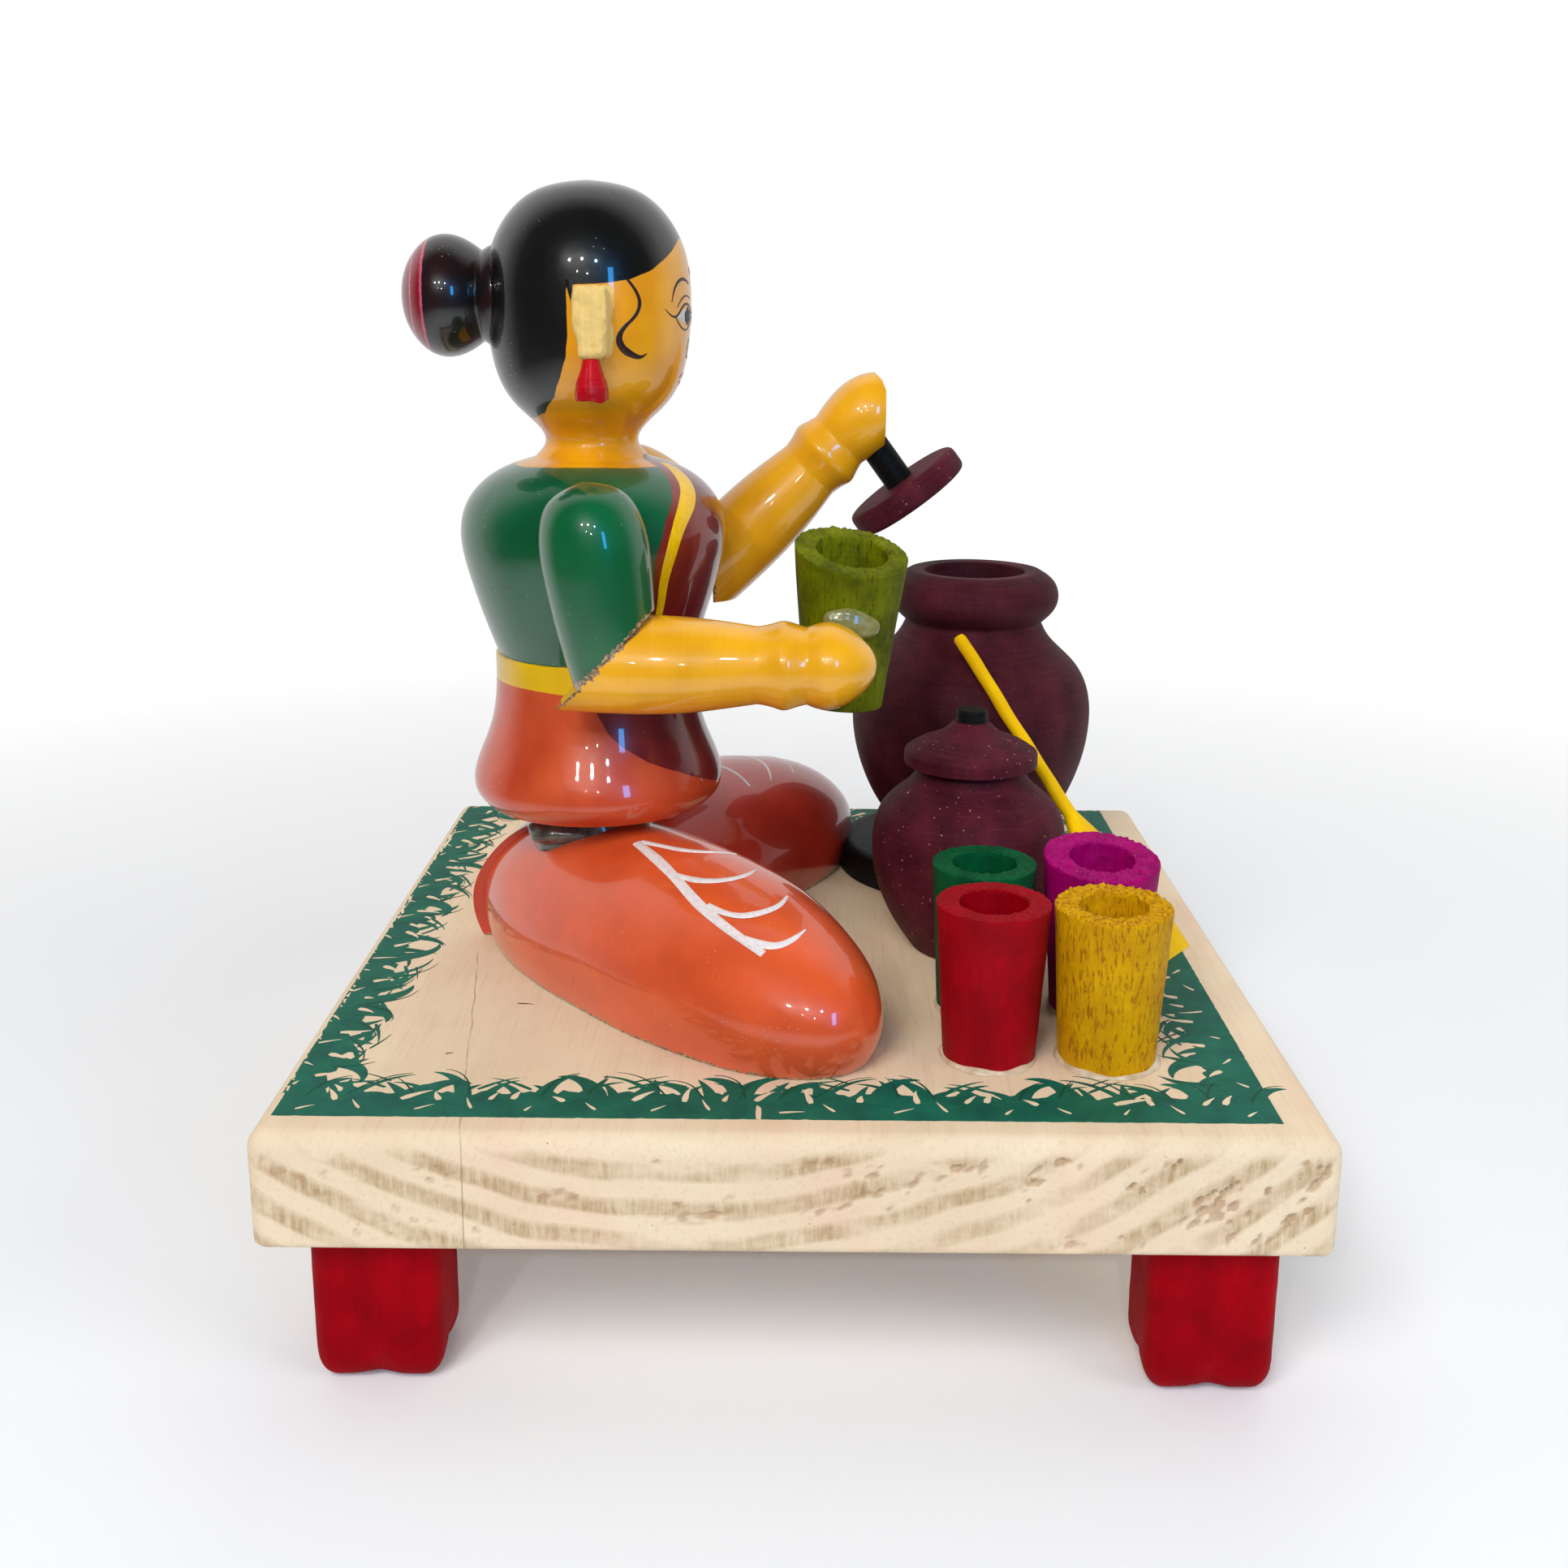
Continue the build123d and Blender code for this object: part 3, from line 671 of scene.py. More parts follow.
def base_board():
    verts, faces = block((2 * EDGE, 2 * EDGE, BOARD_THICK), (ROLL, 3.0, 1.2), (0.62, 1.7, 0.5))
    end = np.abs(verts[:, 1]) > EDGE - 0.05
    pit = np.zeros(len(verts))
    for i in np.nonzero(end)[0]:
        x, y, z = verts[i]
        ring = hypot(x + 15, 95 - z)
        along = atan2(x + 15, 95 - z) * ring
        chip = bump(along * 0.62, ring * 1.1, y)
        patch = bump(along * 0.09, ring * 0.22, y + 5)
        share = min(1.0, max(0.3, (x * np.sign(-y) + 16) / 50))
        pit[i] = max(0.0, chip + 0.9 * patch - 0.40) * share * min(1.0, max(0.0, 7.6 - abs(z)) / 1.5)
    pit = np.minimum(pit * 1.6, 0.6)
    verts[:, 1] -= np.sign(verts[:, 1]) * pit
    flat = verts[:, 2] > 8.99
    for i in np.nonzero(flat)[0]:
        verts[i, 2] -= 0.04 + 0.04 * bump(verts[i, 0] * 0.3, verts[i, 1] * 0.05, 0)
    verts[:, 2] += 33.0
    facing = np.clip((np.abs(verts[:, 1]) - (EDGE - 2.6)) / 1.6, 0,
                     1) * np.clip((TOP - 1.6 - verts[:, 2]) / 1.6, 0, 1)
    fields = {"end": facing, "pit": pit}
    piece("board", (verts, faces), Matrix(), PINE, "base", ("base_board",), fields=fields)


def foot(name, x, y):
    """A foot notched in the middle of its lower edges."""
    verts, faces = block((18.8, 15.6, 24.0), (3.0, 0.4, 4.5), (0.55, 0.55, 0.6))
    low = np.clip((-6.0 - verts[:, 2]) / 6.0, 0, 1)
    for k in (0, 1):
        across = verts[:, 1 - k]
        on_face = np.clip((np.abs(verts[:, k]) - 5.0) / 2.5, 0, 1)
        notch = 1.3 * np.exp(-(across / 1.7) ** 2) * low * on_face
        verts[:, k] -= np.sign(verts[:, k]) * notch
    middle = np.exp(-(verts[:, 0] / 2.0) ** 2) + np.exp(-(verts[:, 1] / 2.0) ** 2)
    verts[:, 2] += np.clip(middle, 0, 1) * 0.7 * (verts[:, 2] < -11.0)
    verts = shaken(verts, 0.06, 3.0, x)
    verts[:, 2] = np.clip(verts[:, 2], -12.0, 12.0)
    piece(name, (verts, faces), at(x, y, 12.0), FOOT, "base", (name,))


def on_board(x, y):
    """The point at or nearest x, y of the board's upper face, which rolls over at its edges and corners."""
    flat = EDGE - ROLL
    over_x, over_y = max(abs(x) - flat, 0.0), max(abs(y) - flat, 0.0)
    over = hypot(over_x, over_y)
    pull = min(1.0, 2.4 / over) if over > 0 else 1.0
    t = over * pull / ROLL
    x = copysign(min(abs(x), flat) + over_x * pull, x)
    y = copysign(min(abs(y), flat) + over_y * pull, y)
    return x, y, TOP - 3.0 * (1 - (1 - t * t) ** 0.5)


def blade(u, v, length, lean, bend, width):
    """One blade of printed grass as (left, right) points, u along the edge and v into the board."""
    steps = max(8, int(length / 0.7))
    rows = []
    for i in range(steps + 1):
        s = i / steps
        angle = radians(lean + bend * s * s)
        w = width * (1 - s) ** 0.75 * (0.55 + 0.45 * min(1, s * 4)) / 2
        rows.append(((u - w * cos(angle), v + w * sin(angle)), (u + w * cos(angle), v - w * sin(angle))))
        u += sin(angle) * length / steps
        v += cos(angle) * length / steps
    return rows


REPEAT = 34.0
# (along the edge, start, length, lean, bend, width) of the blades in one repeat of the grass
GRASS = [
    (0.0, 4.0, 11.0, -14, -88, 4.4), (1.6, 7.6, 6.6, -58, -20, 0.8), (3.2, 4.6, 7.6, 10, 26, 2.6),
    (5.6, 4.0, 10.0, 22, 84, 3.6), (7.2, 9.6, 7.6, 64, 18, 0.8), (8.6, 5.0, 6.4, -22, -34, 2.0),
    (11.0, 4.6, 13.2, 34, 58, 1.5), (12.6, 4.2, 7.4, -6, 14, 3.0), (15.0, 4.4, 9.8, -32, -62, 2.4),
    (15.8, 8.8, 6.4, -66, -14, 0.8), (17.6, 4.6, 6.2, 14, 38, 2.2), (20.0, 4.0, 12.0, 10, 96, 4.2),
    (22.0, 5.0, 7.6, -18, -26, 2.4), (24.4, 4.4, 10.6, -36, -60, 1.7), (26.2, 4.4, 7.0, 26, 44, 2.6),
    (28.6, 4.2, 11.0, -10, -78, 3.2), (30.2, 8.4, 7.0, 52, 30, 0.8), (31.2, 4.8, 8.4, 24, 70, 2.0),
]
# The same for the slits left bare between blades
SLITS = [(2.0, 5.4, 3.4, 24, 30, 1.3), (4.6, 2.0, 2.4, 50, 10, 0.6), (9.8, 4.8, 3.6, -26, -24, 1.2),
         (13.8, 2.4, 2.8, -40, 10, 0.6), (18.6, 5.2, 3.8, 32, 24, 1.4), (21.4, 2.2, 2.4, 44, 0, 0.5),
         (25.4, 5.0, 3.4, -18, 28, 1.2), (29.6, 2.6, 3.0, -34, 14, 0.6), (32.6, 5.2, 2.8, 30, 16, 1.0)]


def grass_border():
    """A ragged printed band along each side of the board, with blades, outlines and slits on it."""
    sides = [  # front, right, back, left: (the side's own plane to the board's, start, end)
        (lambda u, v: (u, -70.6 + v), -76.0, 68.9),
        (lambda u, v: (68.9 - v, u), -64.0, 69.0),
        (lambda u, v: (-u, 76.05 - v), -68.9, 76.0),
        (lambda u, v: (-76.05 + v, -u), -69.0, 64.0),
    ]
    printed, outlines, gaps = [], [], []
    for n, (place, start, end) in enumerate(sides):
        steps = int((end - start) / 0.8)
        band = []
        for i in range(steps + 1):
            u = start + (end - start) * i / steps
            ragged = bump(u * 0.35, n * 7.0, 0) + 0.5 * bump(u * 1.3, n * 3.0, 4)
            inner = 7.3 + 1.9 * ragged
            outer = 0.25 * max(0.0, bump(u * 0.9, n * 5.0, 9))
            band.append([(u, outer + (inner - outer) * k / 8) for k in range(9)])
        printed.append(paper(band, place, 0.030 + 0.0012 * n))
        count = int((end - start) / REPEAT) + 1
        for repeat in range(count):
            first = start + repeat * REPEAT
            for k, (u, v, length, lean, bend, width) in enumerate(GRASS):
                chance = bump(k * 1.3, repeat * 2.7 + 0.4, n * 5.0)
                if (repeat + n) % 2:
                    u, lean, bend = REPEAT - u, -lean, -bend
                u = first + u + 2.0 * chance
                lean, bend = lean + 22 * chance, bend * (1 + 0.5 * chance)
                if not start + 3 < u < end - 3:
                    continue
                stretch = 1 + 0.16 * bump(u, n * 11.0, 2)
                rows = blade(u, v, length * stretch, lean, bend, width)
                if blade_fits(rows, place):
                    printed.append(paper(rows, place, 0.036 + 0.0006 * (len(printed) % 31)))
                    if k % 3 == 0:
                        rim = blade(u + 0.35, v + 2.0, length * stretch * 0.86, lean + 3, bend, 0.4)
                        outlines.append(paper(rim, place, 0.056 + 0.0006 * (len(outlines) % 13)))
            for k, (u, v, length, lean, bend, width) in enumerate(SLITS):
                chance = bump(k * 1.9, repeat * 2.3, n * 5.0 + 9)
                u = first + u + 2.5 * chance
                lean, length = lean + 60 * chance, length * (1 + chance)
                if start + 2 < u < end - 2:
                    rows = blade(u, v, length, lean, bend, width)
                    gaps.append(paper(rows, place, 0.065 + 0.0006 * (len(gaps) % 17)))
    piece("grass_print", joined(printed), Matrix(), PRINT, "base", crease=80)
    piece("grass_print_outline", joined(outlines), Matrix(), PRINT_EDGE, "base", crease=80)
    shape = joined(gaps)
    plain = {"end": np.zeros(len(shape[0])), "pit": np.zeros(len(shape[0]))}
    piece("grass_print_gaps", shape, Matrix(), PINE, "base", fields=plain, crease=80)


def board_marks():
    """Small dark nicks in the board's upper face, as (x, y, length, direction in degrees)."""
    nicks = [(-45.3, -32.3, 2.8, 94), (-53.2, -50.8, 1.2, 70), (-60.3, 34.9, 1.0, 80), (-64.8, -4.7, 1.1, 60),
             (-28.0, -58.4, 1.0, 20), (8.6, -36.0, 1.4, 76)]
    shapes = []
    for k, (x, y, length, lean) in enumerate(nicks):
        rows = blade(0, 0, length, lean, 12, 0.34)
        shapes.append(paper(rows, lambda u, v: (x + u, y + v), 0.05 + 0.001 * k))
    piece("board_nicks", joined(shapes), Matrix(), DARK_STROKE, "base", crease=80)


def blade_fits(rows, place):
    """Whether a blade stays on the board."""
    for a, _ in rows:
        x, y = place(*a)
        if max(abs(x), abs(y)) > EDGE - 0.4:
            return False
    return True


def paper(rows, place, lift):
    """A thin flat layer of print with its rim let into the board. rows are strips of (u, v)."""
    wide = len(rows[0])
    verts, faces = [], []
    on = [on_board(*place(u, v)) for row in rows for u, v in row]
    for x, y, z in on:
        verts.append((x, y, z - 0.04 + lift))
    for x, y, z in on:
        verts.append((x, y, z - 0.30))
    n = len(rows)
    low = n * wide
    for i in range(n - 1):
        for k in range(wide - 1):
            a = i * wide + k
            faces.append((a, a + 1, a + wide + 1, a + wide))
            faces.append((low + a, low + a + wide, low + a + wide + 1, low + a + 1))
        for k in (0, wide - 1):
            a = i * wide + k
            faces.append((a, a + wide, low + a + wide, low + a))
    for i in (0, n - 1):
        for k in range(wide - 1):
            a = i * wide + k
            faces.append((a, a + 1, low + a + 1, low + a))
    return np.array(verts, float), faces


base_board()
grass_border()
board_marks()
foot("foot_front_left", -60.4, -64.1)
foot("foot_front_right", 60.4, -65.4)
foot("foot_rear_left", -60.4, 64.4)
foot("foot_rear_right", 60.4, 64.8)


# The woman: spindle, painted face, bun, ears and earrings

HIP = [(19.3, 27.2), (21.1, 29.2), (19.4, 38.2), (17.6, 44.6), (17.2, 49.4)]
BELT = [(17.2, 49.4), (17.2, 53.6)]
TORSO = [(16.7, 53.6), (18.5, 58.6), (21.1, 67.0), (22.3, 74.2), (21.4, 78.6), (16.4, 84.0), (9.6, 86.6)]
HEAD = [(9.6, 86.6), (7.8, 89.0), (12.2, 95.0), (15.9, 102.4), (16.8, 111.0), (15.6, 121.0), (9.0, 129.2),
        (0, 131.3)]
SPINDLE = [[(0, 27.2), (19.3, 27.2)], HIP, BELT, [BELT[-1], TORSO[0]], TORSO, HEAD]
STANDING = at(AXIS[0], AXIS[1], TOP)
HAIR = [(0, 122.3), (10.8, 121.9), (18, 121.2), (34.4, 118.8), (48, 116.7), (61, 115.4), (75, 114.8),
        (90.5, 114.6),
        (95, 114.2), (95.1, 111), (95.1, 107), (96.8, 103.5), (101.3, 100.3), (108, 97.1), (122, 94.5),
        (144, 93.3),
        (180, 92.6), (230, 92.6)]
# The sari's outline. Its lower lobe across the lap, under her right forearm, is partly the maroon pallu and
# partly painted shade from the forearm.
SARI_WITH_LAP_SHADE = [(-14, 87.2), (-24, 86.6), (-33, 84.8), (-41, 82.2), (-51.4, 77.9), (-57.2, 72.4), (-57.2, 68.0),
        (-55.4, 64.0), (-57, 58.0), (-61.5, 54.5), (-70, 50.8), (-84, 47.4), (-83.8, 46.1), (-77.6, 42.7),
        (-71.7, 40.7), (-58.1, 37.7), (-36.7, 34.4), (-17.6, 31.7), (0, 30.2), (24, 31.6), (48, 36.0),
        (70, 42.5),
        (82, 49.5), (74, 56.0), (70, 62.0), (80, 72.0), (98, 80.0), (122, 86.6)]
TAIL = [(92, 86.6), (150, 86.6), (158, 70), (165, 50), (168, 33), (126, 32), (124, 50), (118, 68), (102, 79)]


def flat_map(points):
    """Angles and heights as millimetres on a cylinder of 18 mm radius."""
    return [(radians(a) * 18, h) for a, h in points]


def figure():
    shape = turned(SPINDLE, around=300, step=0.5)
    verts = shape[0]
    angle = np.arctan2(verts[:, 1], verts[:, 0])
    h = verts[:, 2]
    on_map = np.stack([angle * 18, h], axis=1)
    mirrored = [(-a, height) for a, height in HAIR[::-1]]
    hair = inside(flat_map(mirrored + HAIR[1:] + [(230, 140), (-230, 140)]), on_map)
    sari = np.maximum(inside(flat_map(SARI_WITH_LAP_SHADE), on_map), inside(flat_map(TAIL), on_map))
    waves = 0.28 * np.sin(2 * angle + 0.6) + 0.12 * np.sin(5 * angle)
    fields = {
        "hair": np.where(h > 131, 5.0, hair),
        "sari": sari,
        "blouse": np.minimum(h - 53.7, 85.7 + 0.15 * np.sin(3 * angle) - h),
        "belt": np.minimum(h - 49.2 - waves, 53.9 - h),
        "skirt": 49.4 - h,
    }
    piece("figure", shape, STANDING, FIGURE, "base", ("figure_spindle",), fields=fields)


def painted_face():
    skin = Skin(SPINDLE)

    def paint(name, material, slot, *strokes, lift=0.06):
        shape = joined([skin.stroke(points, widths, lift) for points, widths in strokes])
        piece(name, shape, STANDING, material, "base", crease=60)

    def both(points):
        return [points, [(-a, h) for a, h in points]]

    curl = [(-62, 115.4), (-57.4, 113.7), (-55.1, 111.8), (-59, 109.5), (-64.7, 107.9), (-67, 106.3),
            (-64.5, 104.8), (-59.4, 103.9), (-53.2, 103.5), (-49.6, 104.0)]
    strand = [(-93.6, 115.4), (-92.7, 113.4), (-91.2, 111.2), (-90, 109.3)]
    brow = [(-31.8, 111.9), (-29.6, 113.7), (-24.4, 115.2), (-17, 115.6), (-9, 114.9)]
    crease = [(-26.2, 111.2), (-21.5, 112.4), (-14, 113.0), (-7.5, 112.6)]
    upper = [(-37.4, 110.9), (-32.9, 110.0), (-27.6, 109.7), (-21, 111.0), (-14, 111.7), (-7.6, 111.2),
             (-4.0, 110.0)]
    lower = [(-28.2, 109.7), (-22.6, 108.3), (-16.3, 107.6), (-9.6, 107.9), (-4.0, 109.8)]
    curls = [(p, (0.5, 0.6, 0.75, 0.7, 0.6, 0.9, 1.35, 1.4, 0.9, 0.2)) for p in both(curl)]
    strands = [(p, (1.3, 0.9, 0.5, 0.12)) for p in both(strand)]
    brows = [(p, (0.15, 0.5, 0.65, 0.6, 0.3)) for p in both(brow)]
    creases = [(p, (0.12, 0.35, 0.35, 0.12)) for p in both(crease)]
    lashes = [(p, (0.12, 0.32, 0.45, 0.5, 0.5, 0.4, 0.2)) for p in both(upper)]
    lids = [(p, (0.2, 0.32, 0.3, 0.25, 0.15)) for p in both(lower)]
    nose = [([(-4.5, 106.2), (-6.0, 104.2), (-3.4, 103.0), (0.6, 103.2)], (0.12, 0.3, 0.35, 0.15))]
    paint("curls", DARK_STROKE, "black_lac", *curls)
    paint("ear_strands", HAIR_STROKE, "black_lac", *strands, lift=0.05)
    paint("brows", DARK_STROKE, "black_lac", *brows)
    paint("eye_lines", DARK_STROKE, "black_lac", *creases, *lashes, *lids, lift=0.08)
    paint("nose_line", DARK_STROKE, "black_lac", *nose)
    whites = [([(s * 27.0, 109.65), (s * 20, 109.7), (s * 12, 109.8), (s * 5, 109.8)],
               (0.3, 2.3, 3.3, 0.6)) for s in (-1, 1)]
    paint("eye_whites", EYE_WHITE, "yellow_lac", *whites, lift=0.035)
    irises = [([(s * 16.6, 109.6), (s * 11.8, 109.75), (s * 7.0, 109.8)], (1.6, 3.9, 1.8)) for s in (-1, 1)]
    paint("irises", IRIS, "black_lac", *irises, lift=0.05)
    lips = [([(-10, 99.7), (-4, 100.2), (0, 99.8), (4, 100.2), (10, 99.7)], (0.1, 1.0, 0.8, 1.0, 0.1)),
            ([(-8, 99.3), (0, 98.8), (8, 99.3)], (0.1, 1.1, 0.1))]
    paint("lips", LIP, "earring_paint", *lips)
    paint("forehead_dot", LIP, "earring_paint", ([(-2.6, 117.0), (0, 117.0), (2.6, 117.0)], (0.6, 1.9, 0.6)))
    edge = [(-10, 85.7), (-19, 84.4), (-29.5, 81.8), (-42.6, 77.9), (-49.9, 72.3), (-52.0, 67.6),
            (-51.8, 63.6),
            (-54.4, 58.4), (-58.6, 54.4)]
    paint("sari_border", YELLOW_STROKE, "yellow_lac", (edge, (3.0, 3.9, 3.6, 2.9, 2.5, 2.0, 1.6, 1.4, 1.0)),
          lift=0.05)


def hair_bun():
    barrel = [(8.0, 12.0), (8.4, 15.2), (7.3, 17.4)]
    crown = [(7.3, 17.4), (9.2, 20.4), (9.9, 23.2), (9.4, 25.7), (7.6, 28.0), (4.2, 30.0), (0, 30.7)]
    verts, faces = turned([[(0, 12.0), (8.0, 12.0)], barrel, crown], around=180, step=0.4, wobble=0.05)
    place = at(AXIS[0], AXIS[1], TOP + 112.8, (0, -90, 0))
    world = moved(place, verts)
    radius = np.hypot(world[:, 0] - AXIS[0], world[:, 1] - AXIS[1])
    head = Skin(SPINDLE)
    need = np.interp(world[:, 2] - TOP, head.h, head.r) + GAP
    verts[:, 2] = np.where(radius < need, np.sqrt(np.maximum(need ** 2 - verts[:, 1] ** 2, 1)), verts[:, 2])
    piece("bun", (verts, faces), place, BUN, "base", ("hair_bun",))


def ear(name, side):
    verts, faces = block((5.5, 6.4, 11.1), (1.0, 1.0, 1.2), (0.3, 0.4, 0.3))
    narrow = np.clip((1.0 - verts[:, 2]) / 6.5, 0, 1)
    verts[:, 0] = np.where(verts[:, 0] < 0, verts[:, 0] + narrow * 1.0, verts[:, 0] - narrow * 0.2)
    verts = shaken(shaken(verts, 0.35, 2.2, 3.0 * side), 0.14, 0.7, side)
    place = at(-32.3, AXIS[1] + side * 16.5, TOP + 103.3 + 5.55)
    world = moved(place, verts)
    head = Skin(SPINDLE)
    dx, dy = world[:, 0] - AXIS[0], world[:, 1] - AXIS[1]
    radius = np.hypot(dx, dy)
    need = np.interp(world[:, 2] - TOP, head.h, head.r) + GAP
    push = np.where(radius < need, need / radius - 1, 0)
    verts[:, 0] += dx * push
    verts[:, 1] += dy * push
    piece(name + "_shape", (verts, faces), place, EAR, "base", (name,))


def earring(name, side):
    rings = []
    for r, h in outline([[(0, 0.0), (1.25, 0.0)], [(1.25, 0), (1.6, -1.2), (2.3, -3.2), (2.7, -5.0),
                                                   (2.62, -6.5)],
                         [(2.62, -6.5), (1.9, -6.35)], [(1.9, -6.35), (0, -6.1)]], 0.3, ease=0.12):
        ring = []
        for k in range(64):
            a = 2 * pi * k / 64
            facet = cos(pi / 7) / cos((a % (2 * pi / 7)) - pi / 7)
            hem = 0.35 * bump(cos(a) * 1.2, sin(a) * 1.2, side * 4.0) * max(0, -h - 4) / 2
            out = r * (0.35 + 0.65 * facet) * (1 + 0.05 * bump(a * 1.5, h, side))
            ring.append((out * cos(a + 0.3), out * sin(a + 0.3), h + hem))
        rings.append(np.array(ring))
    place = at(-32.3, AXIS[1] + side * 18.2, TOP + 103.28)
    piece(name + "_shape", loft(rings), place, EARRING, "base", (name,), crease=30)


figure()
painted_face()
hair_bun()
for name, side in (("right", -1), ("left", 1)):
    ear(name + "_ear", side)
    earring(name + "_earring", side)


# Arms with what they hold

UPPER = [[(0, 8.3), (5.9, 5.9), (8.3, 0.0), (8.3, -7.0), (7.5, -16.0), (6.0, -27.0)],
         [(6.0, -27.0), (0, -27.0)]]
CUFF = [(7.2, -6.0), (7.8, 6.0), (7.4, 16.0), (6.1, 25.5)]
BEAD = [(6.1, 25.5), (6.6, 28.0), (7.0, 29.6), (6.6, 31.2), (6.0, 33.2)]
ELBOW = (0.6, 0, -20.2)
BLUNT = {-1: 9.6, 1: 6.5}  # how far out each elbow's corner is cut off, by side
FIST_END = 15.9  # where the left fist is cut flat
CUP_PLACE = at(7.6, -16.4, TOP + 47.0, (0, 3, 0))


def arm_place(side):
    """Where an arm hangs; side is -1 for her right and 1 for her left."""
    if side < 0:
        return at(-31.6, AXIS[1] - 27.5, TOP + 77.0)
    return at(-30.2, AXIS[1] + 27.5, TOP + 78.0, (0, -45, 0))


def mitre(place):
    """The elbow's cut in the row frame: a point on it, and the direction to the upper arm."""
    point = place @ Vector(ELBOW)
    direction = (place.to_3x3() @ Vector((-1, 0, 1))).normalized()
    return point, direction


def elbow_corner(place, depth):
    """The cut that blunts the outer corner of an elbow."""
    outward = (place.to_3x3() @ Vector((-1, 0, -1))).normalized()
    return place @ Vector(ELBOW) + outward * depth, outward


def seam_of(verts, place, point, direction):
    """Distance of each point from the elbow's cut."""
    world = moved(place, verts)
    return np.abs((world - np.array(point)) @ np.array(direction))


def upper_arm(name, side, body, material):
    place = arm_place(side)
    point, direction = mitre(place)
    full = place @ at(0, 0, 0, (0, -8, 0))
    shape = turned(UPPER, around=170, step=0.45, wobble=0.12, seed=side)
    inner = (0, AXIS[1] + side * 22.6, 0)
    cuts = [(point, -direction), (inner, Vector((0, -side, 0))), elbow_corner(place, BLUNT[side])]
    fields = {"seam": seam_of(shape[0], full, point, direction)}
    piece(name + "_shape", shape, full, material, body, (name,), cuts, fields)


def forearm(name, side, body, reach):
    fist = [(6.0, 33.2), (6.7, reach - 7.2), (5.36, reach - 3.4), (2.4, reach - 0.6), (0, reach)]
    if side < 0:
        fist = [(6.0, 33.2), (6.8, reach - 8.0), (6.0, reach - 4.8), (4.1, reach - 2.2), (1.5, reach - 0.3),
                (0, reach)]
    place = arm_place(side)
    point, direction = mitre(place)
    full = place @ at(ELBOW[0], 0, ELBOW[2], (0, 90, 0)) @ at(0, 0, -ELBOW[0])
    shape = turned([[(0, -6.0), (7.2, -6.0)], CUFF, BEAD, fist], around=170, step=0.4, wobble=0.16,
                   seed=5.0 + side)
    verts = shape[0]
    cuts = [(point, direction), elbow_corner(place, BLUNT[side])]
    if side > 0:
        cuts.append(((FIST_END, 0, 0), Vector((1, 0, 0))))
        world = moved(full, verts)
        within = world[world[:, 0] < FIST_END]
        top = float((within[:, 0] + within[:, 2]).max()) - FIST_END
        cuts.append(((FIST_END, 0, top - 1.5), Vector((1, 0, 1)).normalized()))
        cuts.append(((FIST_END, 0, top - 2.6), Vector((2, 0, 0.8)).normalized()))
    if side < 0:
        in_cup = moved(CUP_PLACE.inverted() @ full, verts)
        radius = np.hypot(in_cup[:, 0], in_cup[:, 1])
        need = 6.5 + 2.8 * in_cup[:, 2] / 25.6 + GAP
        push = np.where(radius < need, need / radius, 1)
        in_cup[:, 0] *= push
        in_cup[:, 1] *= push
        verts = moved(full.inverted() @ CUP_PLACE, in_cup)
    fields = {"seam": seam_of(verts, full, point, direction)}
    piece(name + "_shape", (verts, shape[1]), full, SKIN, body, (name,), cuts, fields)


def slanted(foot_r, rim_r, height, bore_r, depth, slant, torn, seed):
    """A tapered cup with a drilled bore. Its rim is cut at a slant and torn by up to torn millimetres."""
    body = [[(0, 0), (foot_r, 0)], [(foot_r, 0), (rim_r, height)], [(rim_r, height), (bore_r, height)],
            [(bore_r, height), (bore_r, height - depth)],
            [(bore_r, height - depth), (0, height - depth - 0.6)]]
    verts, faces = turned(body, around=150, step=0.5, wobble=0.22, seed=seed)
    ax, ay = radians(slant[0]), radians(slant[1])
    normal = Matrix.Rotation(ax, 3, "X") @ Matrix.Rotation(ay, 3, "Y") @ Vector((0, 0, 1))
    share = np.clip((verts[:, 2] - 0.35 * height) / (0.65 * height), 0, 1)
    share = share * share * (3 - 2 * share)
    fall = -(normal.x * verts[:, 0] + normal.y * verts[:, 1]) / normal.z
    radius = np.hypot(verts[:, 0], verts[:, 1])
    outer = radius > bore_r + 0.6
    new_z = verts[:, 2] + share * fall
    taper = (rim_r - foot_r) / height
    grow = np.where(outer & (radius > 0.1), taper * (new_z - verts[:, 2]) / np.maximum(radius, 1), 0)
    verts[:, 0] *= 1 + grow
    verts[:, 1] *= 1 + grow
    for i in np.nonzero(verts[:, 2] > height - 0.6)[0]:
        x, y, z = verts[i]
        new_z[i] += torn * (bump(x * 1.4 + seed, y * 1.4, 0) + 0.5 * bump(x * 3, y * 3, seed))
    verts[:, 2] = new_z
    rough = np.hypot(verts[:, 0], verts[:, 1]) < bore_r + 0.4
    for i in np.nonzero(rough & (new_z > height - depth + 0.5))[0]:
        x, y, z = verts[i]
        pull = 1 + 0.35 * torn * bump(x * 0.9 + seed, y * 0.9, z * 0.8) / bore_r
        verts[i, 0] *= pull
        verts[i, 1] *= pull
    return verts, faces


def blob(radii, seed, uneven=0.22):
    """A smooth lump of set glue."""
    arc = [(sin(pi * k / 12), -cos(pi * k / 12)) for k in range(13)]
    verts, faces = turned([arc], around=64, step=0.06)
    verts = np.array([Vector(v) * (1 + uneven * noise.noise(Vector(v) * 1.1 + Vector((seed, 0,
                                                                                      0)))) for v in verts])
    return verts * np.array(radii), faces


